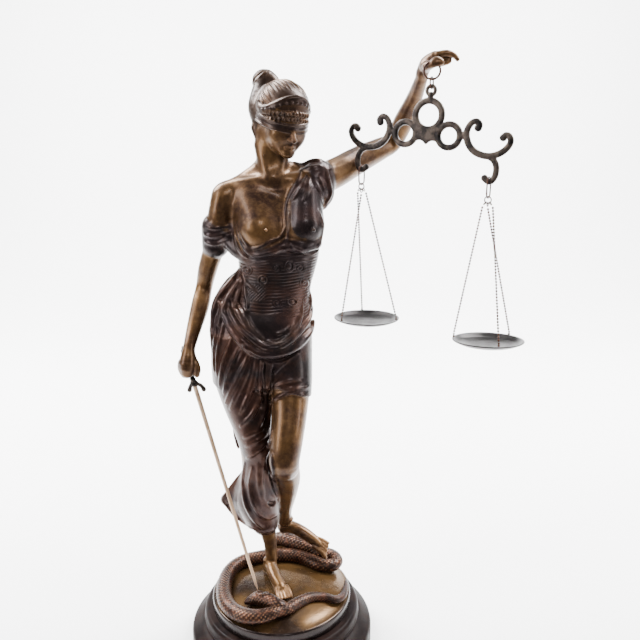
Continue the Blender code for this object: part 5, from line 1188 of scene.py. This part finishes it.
def shape_hilt():
    ends = np.stack((SWORD_GUARD - go * 20, SWORD_GUARD + go * 64))
    clay = Clay(ends.min(0) - (20, 12, 6), ends.max(0) + (20, 12, 6), 0.55 * QUICK_SHARE)
    clay.limb([(*SWORD_GUARD, 3.3), (*(SWORD_GUARD + go * 50), 3.3)], 1.0)
    clay.ball(SWORD_GUARD + go * 53, (5.2, 5.2, 5.2), 1.5)
    clay.ball(SWORD_GUARD + go * 59, (2.6, 2.6, 2.6), 1.5)
    clay.ball(SWORD_GUARD + go * 1, (6.4, 5.0, 5.6), 2.0)
    clay.ball(SWORD_GUARD + go * 8, (4.6, 4.6, 2.4), 2.0)
    for across, up in ((-7.5, -10.0), (14.5, -9.0)):
        tip = SWORD_GUARD + (across, 0, up)
        clay.limb([(*(SWORD_GUARD + go), 3.4), (*(SWORD_GUARD + (0.7 * across, 0, 0.25 * up)), 2.8),
                   (*tip, 3.7)], 1.2)
        clay.ball(tip + (0, -3.6, 0), (1.6, 1.2, 1.6), 0.8, carve=True)
    for k in range(9):
        ring = SWORD_GUARD + go * (14 + 3.9 * k)
        clay.ball(ring, (3.9, 3.9, 1.5), 0.8)
    return clay


hilt_clay = shape_hilt()
points, faces = hilt_clay.surface()
hilt = new_mesh("sword_hilt", points * TO_METRES, faces, clay_marks(hilt_clay, points))
show(hilt, ["sword"], "dark_bronze")

# The blade is a long thin lens with a ridge on each side, from the guard to the point
BLADE_RINGS, BLADE_SIDES = 60, 24
share = np.linspace(0, 1, BLADE_RINGS)[:, None]
spine = SWORD_GUARD - go * 2 + (SWORD_TIP - SWORD_GUARD + go * 2) * share
wide = 3.6 - 1.2 * share - 1.6 * np.clip((share - 0.93) / 0.07, 0, 1)
t = np.linspace(0, 2 * math.pi, BLADE_SIDES, endpoint=False)[None, :]
across = np.cross(go, (0.0, 1.0, 0.0))
across /= np.linalg.norm(across)
thin = np.cross(across, go)
lens = np.abs(np.cos(t))**1.2 * np.sign(np.cos(t)), 0.5 * np.sin(t)
blade_points = (spine[:, None, :] + (wide * lens[0])[..., None] * across
                + (wide * lens[1])[..., None] * thin)
blade_points[-1] = SWORD_TIP
blade = new_mesh("sword_blade", blade_points.reshape(-1, 3) * TO_METRES,
                 grid_faces(BLADE_RINGS, BLADE_SIDES))
show(blade, ["sword"], "blade")
print("blade is", round(float(np.linalg.norm(SWORD_GUARD - SWORD_TIP))), "mm long")

# %% [markdown]
# ## Rings and chains
#
# Rings, links and chains hang straight down, so each one's place can be taken from the plain
# solid it stands for: the ends of a chain are the lowest and highest points of its rod, and a
# ring lies in the upright plane in which its solid is widest. Each bead is a small ball of a few
# dozen faces, because there are hundreds of them.

# %% Rings
def spots(node):
    """All points of a solid, in millimetres."""
    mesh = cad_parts[node].data
    values = np.empty(len(mesh.vertices) * 3, np.float32)
    mesh.vertices.foreach_get("co", values)
    return values.reshape(-1, 3) / TO_METRES


def ends_of(node, reach=0.4):
    """Middles of the points at the low and at the high end of a solid."""
    p = spots(node)
    low, high = p[:, 2].min(), p[:, 2].max()
    return p[p[:, 2] < low + reach].mean(0), p[p[:, 2] > high - reach].mean(0)


def ring_of(node):
    """Middle, level direction, rising direction, half width, half height and wire radius of a
    ring. The thinnest direction through its points is the one its hole looks along."""
    p = spots(node)
    middle = (p.min(0) + p.max(0)) / 2
    hole = np.linalg.svd(p - p.mean(0), full_matrices=False)[2][2]
    across = np.cross(hole, (0, 0, 1))
    across /= np.linalg.norm(across)
    rise = np.cross(across, hole)
    wire = np.ptp(p @ hole) / 2
    return middle, across, rise, np.ptp(p @ across) / 2 - wire, np.ptp(p @ rise) / 2 - wire, wire


def wire_mesh(path, radius, sides, closed):
    """Rings of points round a path. Each ring's first direction is the one before it with the
    path's own direction taken out, so the wire does not twist."""
    path = np.array(path, float)
    go = np.roll(path, -1, 0) - np.roll(path, 1, 0) if closed else np.gradient(path, axis=0)
    go /= np.linalg.norm(go, axis=1, keepdims=True)
    first = np.cross(go[0], (0.31, 0.87, 0.38))
    out = np.empty_like(path)
    for k, g in enumerate(go):
        first = first - g * (first @ g)
        first /= np.linalg.norm(first)
        out[k] = first
    t = np.linspace(0, 2 * math.pi, sides, endpoint=False)
    points = path[:, None] + radius[:, None, None] * spokes(t, out, np.cross(go, out))
    return points.reshape(-1, 3), grid_faces(len(path), sides, along=closed)


def stadium(middle, across, rise, wide, tall, count):
    """A loop of two half circles of radius wide joined by straight sides."""
    t = np.linspace(0, 2 * math.pi, count, endpoint=False)
    straight = max(tall - wide, 0.0)
    up = wide * np.sin(t) + straight * np.clip(np.sin(t) * 3, -1, 1)
    return middle + (wide * np.cos(t))[:, None] * across + up[:, None] * rise


def ring_piece(name, node):
    """A ring of drawn wire; a small lump on it is the place where its ends are soldered."""
    *shape, wire = ring_of(node)
    loop = stadium(*shape, 28 if "loop" in node else 64)
    t = np.linspace(0, 1, len(loop), endpoint=False)
    thick = wire * (1.15 + 0.22 * np.exp(-((t - 0.55) / 0.018)**2))
    points, faces = wire_mesh(loop, thick, 10 if "loop" in node else 16, True)
    print(node, "wire of", round(2 * wire, 1), "mm")
    return show(new_mesh(name, points * TO_METRES, faces), [node], "copper")


for node in sorted(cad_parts):
    if node in ("hand_ring", "beam_link") or "_ring_" in node or "chain_loop" in node:
        ring_piece(node + "_wire", node)

# %% Bead chains and clips
def bead_chain(name, node):
    """Beads set evenly between a chain's two ends. Each is a stack of rings with the radius
    r cos a at the height r sin a, never thinner than the wire, so one skin runs from bead to bead."""
    low, high = ends_of(node)
    length = np.linalg.norm(high - low)
    go, count = (high - low) / length, int(round(length / BEAD_PITCH))
    centres = low + (high - low) * (np.arange(count)[:, None] + 0.5) / count
    t = np.linspace(0, 2 * math.pi, BEAD_SIDES, endpoint=False)
    a = np.linspace(-0.5 * math.pi, 0.5 * math.pi, 6)
    one = np.cross(go, (0.0, 1.0, 0.0))
    one /= np.linalg.norm(one)
    r = np.maximum(BEAD_RADIUS * np.cos(a), BEAD_WIRE)
    ring = r[:, None, None] * spokes(t, one, np.cross(go, one))
    ring = ring + (BEAD_RADIUS * 0.99 * np.sin(a))[:, None, None] * go
    points = (centres[:, None, None, :] + ring).reshape(-1, 3)
    faces = grid_faces(len(points) // BEAD_SIDES, BEAD_SIDES)
    return show(new_mesh(name, points * TO_METRES, faces), [node], "copper")


BEAD_RADIUS, BEAD_PITCH, BEAD_WIRE, BEAD_SIDES = 1.75, 4.25, 0.42, 8
CLIPS = sorted(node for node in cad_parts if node.startswith("pan_clip"))
for node in sorted(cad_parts):
    if node.startswith("chain_left") or node.startswith("chain_right"):
        bead_chain(node + "_beads", node)
for node in CLIPS:
    low, high = ends_of(node)
    rise = np.linspace(0, 1, 40)[:, None]
    thick = np.interp(rise[:, 0], (0, 0.02, 0.12, 0.3, 0.45, 0.6, 0.75, 0.97, 1),
                      (0.05, 1.5, 1.9, 1.7, 0.9, 0.9, 1.6, 1.5, 0.05))
    points, faces = wire_mesh(low + (high - low) * rise, thick, 24, False)
    show(new_mesh(node + "_bead_clip", points * TO_METRES, faces), [node], "copper")
print(len(CLIPS), "clips and as many chains of", BEAD_PITCH, "mm pitch")

# %% [markdown]
# ## Finishes
#
# The real cast is a cold bronze: metal powder under a tinted lacquer. Its colour follows the
# relief. Tint gathers in hollows, edges are rubbed bright, and skin, cloth and ground each have a
# tone of their own. These shared effects are node groups that only give colours, masks and
# heights; each material keeps its own shader.

# %% Node groups for patina, wear and grain
def shader_group(name, inputs, outputs):
    """A node group with named sockets, and the two nodes its inputs and outputs sit on."""
    tree = bpy.data.node_groups.new(name, "ShaderNodeTree")
    for socket, kind in inputs:
        tree.interface.new_socket(socket, in_out="INPUT", socket_type="NodeSocket" + kind)
    for socket, kind in outputs:
        tree.interface.new_socket(socket, in_out="OUTPUT", socket_type="NodeSocket" + kind)
    return tree, tree.nodes.new("NodeGroupInput"), tree.nodes.new("NodeGroupOutput")


def node(tree, kind, settings=None, **links):
    """One node; settings go to its properties, links to its inputs by name or number."""
    made = tree.nodes.new("ShaderNode" + kind)
    for key, value in (settings or {}).items():
        setattr(made, key, value)
    for key, value in links.items():
        socket = made.inputs[int(key[1:])] if key[0] == "i" and key[1:].isdigit() else made.inputs[
            key.replace("_", " ")]
        if isinstance(value, bpy.types.NodeSocket):
            tree.links.new(value, socket)
        else:
            socket.default_value = value
    return made


def noise(tree, where, scale, detail=4.0, rough=0.55, low=0.4, high=0.6):
    """Noise spread over a range: 0 below low, 1 above high."""
    made = node(tree, "TexNoise", None, Vector=where, Scale=scale, Detail=detail, Roughness=rough)
    spread = node(tree, "MapRange", None, Value=made.outputs["Fac"], From_Min=low, From_Max=high)
    return spread.outputs["Result"]


def times(tree, a, b):
    return node(tree, "Math", {"operation": "MULTIPLY"}, i0=a, i1=b).outputs[0]


def plus(tree, a, b):
    return node(tree, "Math", {"operation": "ADD", "use_clamp": True}, i0=a, i1=b).outputs[0]


def blend_colours(tree, share, a, b):
    """Colour a turned to b by a share; each is a socket or a plain red, green and blue."""
    made = node(tree, "Mix", {"data_type": "RGBA"})
    for index, value in ((0, share), (6, a), (7, b)):
        if isinstance(value, bpy.types.NodeSocket):
            tree.links.new(value, made.inputs[index])
        else:
            made.inputs[index].default_value = (*value, 1) if index else value
    return made.outputs[2]


def mark(tree, name):
    return node(tree, "Attribute", {"attribute_name": name}).outputs["Fac"]


def where_on(tree):
    return node(tree, "TexCoord").outputs["Object"]


def patina_group():
    """Colour, roughness and height of the figure's lacquered bronze, from the clay's marks."""
    tree, start, end = shader_group(
        "patina", (), (("Colour", "Color"), ("Roughness", "Float"), ("Height", "Float")))
    here = where_on(tree)
    mottle = noise(tree, here, 21.0, 5.0, 0.55, 0.36, 0.64)
    freckles = noise(tree, here, 120.0, 5.0, 0.6, 0.45, 0.7)
    cloud = noise(tree, here, 15.0, 4.0, 0.55, 0.42, 0.6)
    hollow, edge, snake = mark(tree, "hollow"), mark(tree, "edge"), mark(tree, "snake")
    ground = blend_colours(tree, cloud, GROUND_GOLD, GROUND_DARK)
    ground = blend_colours(tree, mark(tree, "rim"), ground, CLOTH_DARK)
    skin = blend_colours(tree, mottle, SKIN_GOLD, SKIN_PLUM)
    skin = blend_colours(tree, times(tree, freckles, 0.2), skin, SKIN_LIGHT)
    cloth = blend_colours(tree, mottle, CLOTH_DARK, CLOTH_PLUM)
    cloth = blend_colours(tree, times(tree, cloud, 0.32), cloth, CLOTH_WARM)
    hair = blend_colours(tree, mottle, HAIR_DARK, HAIR_BROWN)
    band = blend_colours(tree, mottle, BAND_DARK, BAND_BROWN)
    scales = blend_colours(tree, freckles, SNAKE_DARK, SNAKE_RED)
    colour = ground
    for share, tone in ((mark(tree, "skin"), skin), (mark(tree, "cloth"), cloth),
                        (mark(tree, "hair"), hair), (mark(tree, "band"), band), (snake, scales)):
        colour = blend_colours(tree, share, colour, tone)
    broken = times(tree, edge, noise(tree, here, 60.0, 4.0, 0.6, 0.3, 0.6))
    bright = plus(tree, times(tree, mark(tree, "skin"), 0.3), times(tree, snake, 0.55))
    bright = plus(tree, bright, times(tree, mark(tree, "hair"), 0.2))
    colour = blend_colours(tree, times(tree, broken, plus(tree, bright, 0.08)), colour, RUBBED)
    colour = blend_colours(tree, times(tree, hollow, 0.6), colour, TINT)
    rough = node(tree, "MapRange", None, Value=freckles, To_Min=0.17, To_Max=0.27).outputs["Result"]
    for name in ("skin", "cloth", "hair", "band", "snake"):
        rough = plus(tree, rough, times(tree, mark(tree, name), 0.14))
    tree.links.new(colour, end.inputs["Colour"])
    tree.links.new(plus(tree, rough, times(tree, hollow, 0.15)), end.inputs["Roughness"])
    height = noise(tree, here, 420.0, 3.0, 0.6, 0.2, 0.8)
    tree.links.new(plus(tree, times(tree, height, 0.4), times(tree, freckles, 0.4)),
                   end.inputs["Height"])
    return tree


def wear_group():
    """Share of worn metal: edges and raised places, broken up by a fine noise."""
    tree, start, end = shader_group("wear", (("Scale", "Float"),),
                                    (("Worn", "Float"), ("Height", "Float"), ("Cloud", "Float")))
    here = where_on(tree)
    broken = node(tree, "TexNoise", None, Vector=here, Scale=start.outputs["Scale"], Detail=6.0)
    spread = node(tree, "MapRange", None, Value=broken.outputs["Fac"], From_Min=0.42, From_Max=0.6)
    worn = times(tree, mark(tree, "edge"), spread.outputs["Result"])
    tree.links.new(worn, end.inputs["Worn"])
    tree.links.new(noise(tree, here, 700.0, 3.0, 0.5, 0.2, 0.8), end.inputs["Height"])
    tree.links.new(noise(tree, here, 40.0, 4.0, 0.6, 0.4, 0.6), end.inputs["Cloud"])
    return tree


GROUND_GOLD, GROUND_DARK = (0.085, 0.045, 0.016), (0.018, 0.010, 0.006)
SKIN_GOLD, SKIN_PLUM = (0.105, 0.053, 0.019), (0.030, 0.014, 0.009)
SKIN_LIGHT = (0.20, 0.11, 0.045)
CLOTH_DARK, CLOTH_PLUM = (0.011, 0.0075, 0.0075), (0.021, 0.013, 0.014)
CLOTH_WARM = (0.075, 0.024, 0.009)
HAIR_DARK, HAIR_BROWN = (0.014, 0.008, 0.006), (0.038, 0.019, 0.011)
BAND_DARK, BAND_BROWN = (0.011, 0.007, 0.006), (0.026, 0.014, 0.011)
SNAKE_DARK, SNAKE_RED = (0.014, 0.006, 0.004), (0.065, 0.020, 0.009)
RUBBED, TINT = (0.42, 0.22, 0.11), (0.006, 0.003, 0.003)
PATINA, WEAR = patina_group(), wear_group()

# %% Materials
def new_look(name, values):
    """A material with one Principled shader; plain values go on its own sockets."""
    look = bpy.data.materials.new(name)
    look.use_nodes = True
    tree = look.node_tree
    shader = tree.nodes["Principled BSDF"]
    for key, value in values.items():
        shader.inputs[key].default_value = value
    return look, tree, shader


def give_height(tree, shader, height, strength, distance):
    bump = node(tree, "Bump", None, Height=height, Strength=strength, Distance=distance)
    tree.links.new(bump.outputs["Normal"], shader.inputs["Normal"])


def group_node(tree, group):
    made = tree.nodes.new("ShaderNodeGroup")
    made.node_tree = group
    return made


looks = {}
look, tree, shader = new_look("bronze", {
    "Metallic": 0.6, "Coat Weight": 0.09, "Coat Roughness": 0.16, "Specular IOR Level": 0.18})
patina = group_node(tree, PATINA)
tree.links.new(patina.outputs["Colour"], shader.inputs["Base Color"])
tree.links.new(patina.outputs["Roughness"], shader.inputs["Roughness"])
give_height(tree, shader, patina.outputs["Height"], 0.35, 0.0006)
looks["bronze"] = look


def worn_metal(name, dark, light, worn, scale, bump, values):
    """Two cloudy tones, a third where edges are worn, and a roughness that follows the clouds."""
    look, tree, shader = new_look(name, values)
    wear = group_node(tree, WEAR)
    wear.inputs["Scale"].default_value = scale
    base = blend_colours(tree, wear.outputs["Cloud"], dark, light)
    colour = blend_colours(tree, wear.outputs["Worn"], base, worn)
    tree.links.new(colour, shader.inputs["Base Color"])
    rough = node(tree, "MapRange", None, Value=wear.outputs["Cloud"],
                 To_Min=values["Roughness"] - 0.05, To_Max=values["Roughness"] + 0.08)
    tree.links.new(rough.outputs["Result"], shader.inputs["Roughness"])
    give_height(tree, shader, wear.outputs["Height"], bump, 0.0005)
    looks[name] = look


for name, dark, light, worn, scale, bump, values in (
    ("dark_bronze", (0.010, 0.008, 0.0075), (0.026, 0.020, 0.018), (0.10, 0.075, 0.06), 90.0, 0.4,
     {"Metallic": 0.7, "Roughness": 0.34, "Specular IOR Level": 0.25}),
    ("pewter", (0.008, 0.007, 0.007), (0.020, 0.018, 0.018), (0.11, 0.10, 0.095), 60.0, 0.15,
     {"Metallic": 0.6, "Roughness": 0.36, "Specular IOR Level": 0.14}),
    ("copper", (0.022, 0.011, 0.008), (0.065, 0.032, 0.022), (0.22, 0.13, 0.09), 150.0, 0.1,
     {"Metallic": 0.5, "Roughness": 0.4, "Specular IOR Level": 0.2}),
    ("wood", (0.004, 0.002, 0.002), (0.010, 0.005, 0.004), (0.12, 0.06, 0.035), 45.0, 0.12,
     {"Metallic": 0.0, "Roughness": 0.42, "Specular IOR Level": 0.045}),
    ("blade", (0.42, 0.27, 0.17), (0.55, 0.37, 0.25), (0.7, 0.5, 0.35), 80.0, 0.1,
     {"Metallic": 0.4, "Roughness": 0.42}),
):
    worn_metal(name, dark, light, worn, scale, bump, values)
for name, look in pieces.items():
    bpy.data.objects[name].data.materials.append(looks[look])
for name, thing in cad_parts.items():
    thing.data.materials.clear()
    thing.data.materials.append(looks["bronze"])
print(len(pieces), "pieces,", len(looks), "materials")

# %% [markdown]
# ## Floor and light
#
# The statue stands on a pale floor that rises into a wall without an edge, under large soft lights.
# Wide white panels are what a lacquered bronze needs: its highlights are pictures of the lights.

# %% Floor, wall and lights
# Back and up, in metres: flat under the statue, then a slow curve into the wall
sweep = ((-0.4, 0.0), (1.6, 0.0), (2.2, 0.03), (2.75, 0.2), (3.2, 0.6), (3.4, 1.2), (3.45, 2.1))
sweep = smooth_path([(*row, 0.0, 0.0) for row in sweep], 0.05)[:, :2]
across = np.linspace(-4, 4, 9)
points = np.stack(np.broadcast_arrays(across, sweep[:, :1], sweep[:, 1:]), -1).reshape(-1, 3)
floor = new_mesh("floor", points, grid_faces(len(sweep), len(across), around=False))
look, tree, shader = new_look("floor_paper", {"Roughness": 0.8})
paper = noise(tree, where_on(tree), 300.0, 2.0)
tree.links.new(blend_colours(tree, paper, (0.90, 0.90, 0.90), (0.92, 0.92, 0.92)),
               shader.inputs["Base Color"])
floor.data.materials.append(look)


def panel(name, place, target, wide, tall, power):
    """A white panel of light at a place, turned to face a target; power in watts."""
    data = bpy.data.lights.new(name, "AREA")
    data.shape, data.size, data.size_y, data.energy = "RECTANGLE", wide, tall, power
    lamp = bpy.data.objects.new(name, data)
    lamp.location = place
    aim = np.array(target) - np.array(place)
    lamp.rotation_euler = mathutils.Vector(aim).to_track_quat("-Z", "Y").to_euler()
    bpy.context.scene.collection.objects.link(lamp)


panel("left_panel", (-1.6, -0.9, 1.2), (0, 0, 0.5), 0.6, 1.6, 50)
panel("right_panel", (1.7, -0.6, 1.1), (0, 0, 0.5), 0.4, 1.6, 30)
panel("front_panel", (0.3, -2.2, 2.1), (0, 0, 0.4), 0.7, 0.5, 26)
panel("ceiling_panel", (0.0, 1.05, 2.7), (0, 1.05, 0), 3.2, 1.9, 48)
panel("wall_left", (-1.6, 0.9, 2.2), (-0.4, 2.6, 0.1), 2.0, 1.2, 440)
panel("wall_right", (1.6, 0.9, 2.2), (0.4, 2.6, 0.1), 2.0, 1.2, 440)
world = bpy.data.worlds.new("room")
world.use_nodes = True
air = world.node_tree.nodes["Background"].inputs
air["Color"].default_value, air["Strength"].default_value = (1.0, 1.0, 1.0, 1), 0.22
bpy.context.scene.world = world
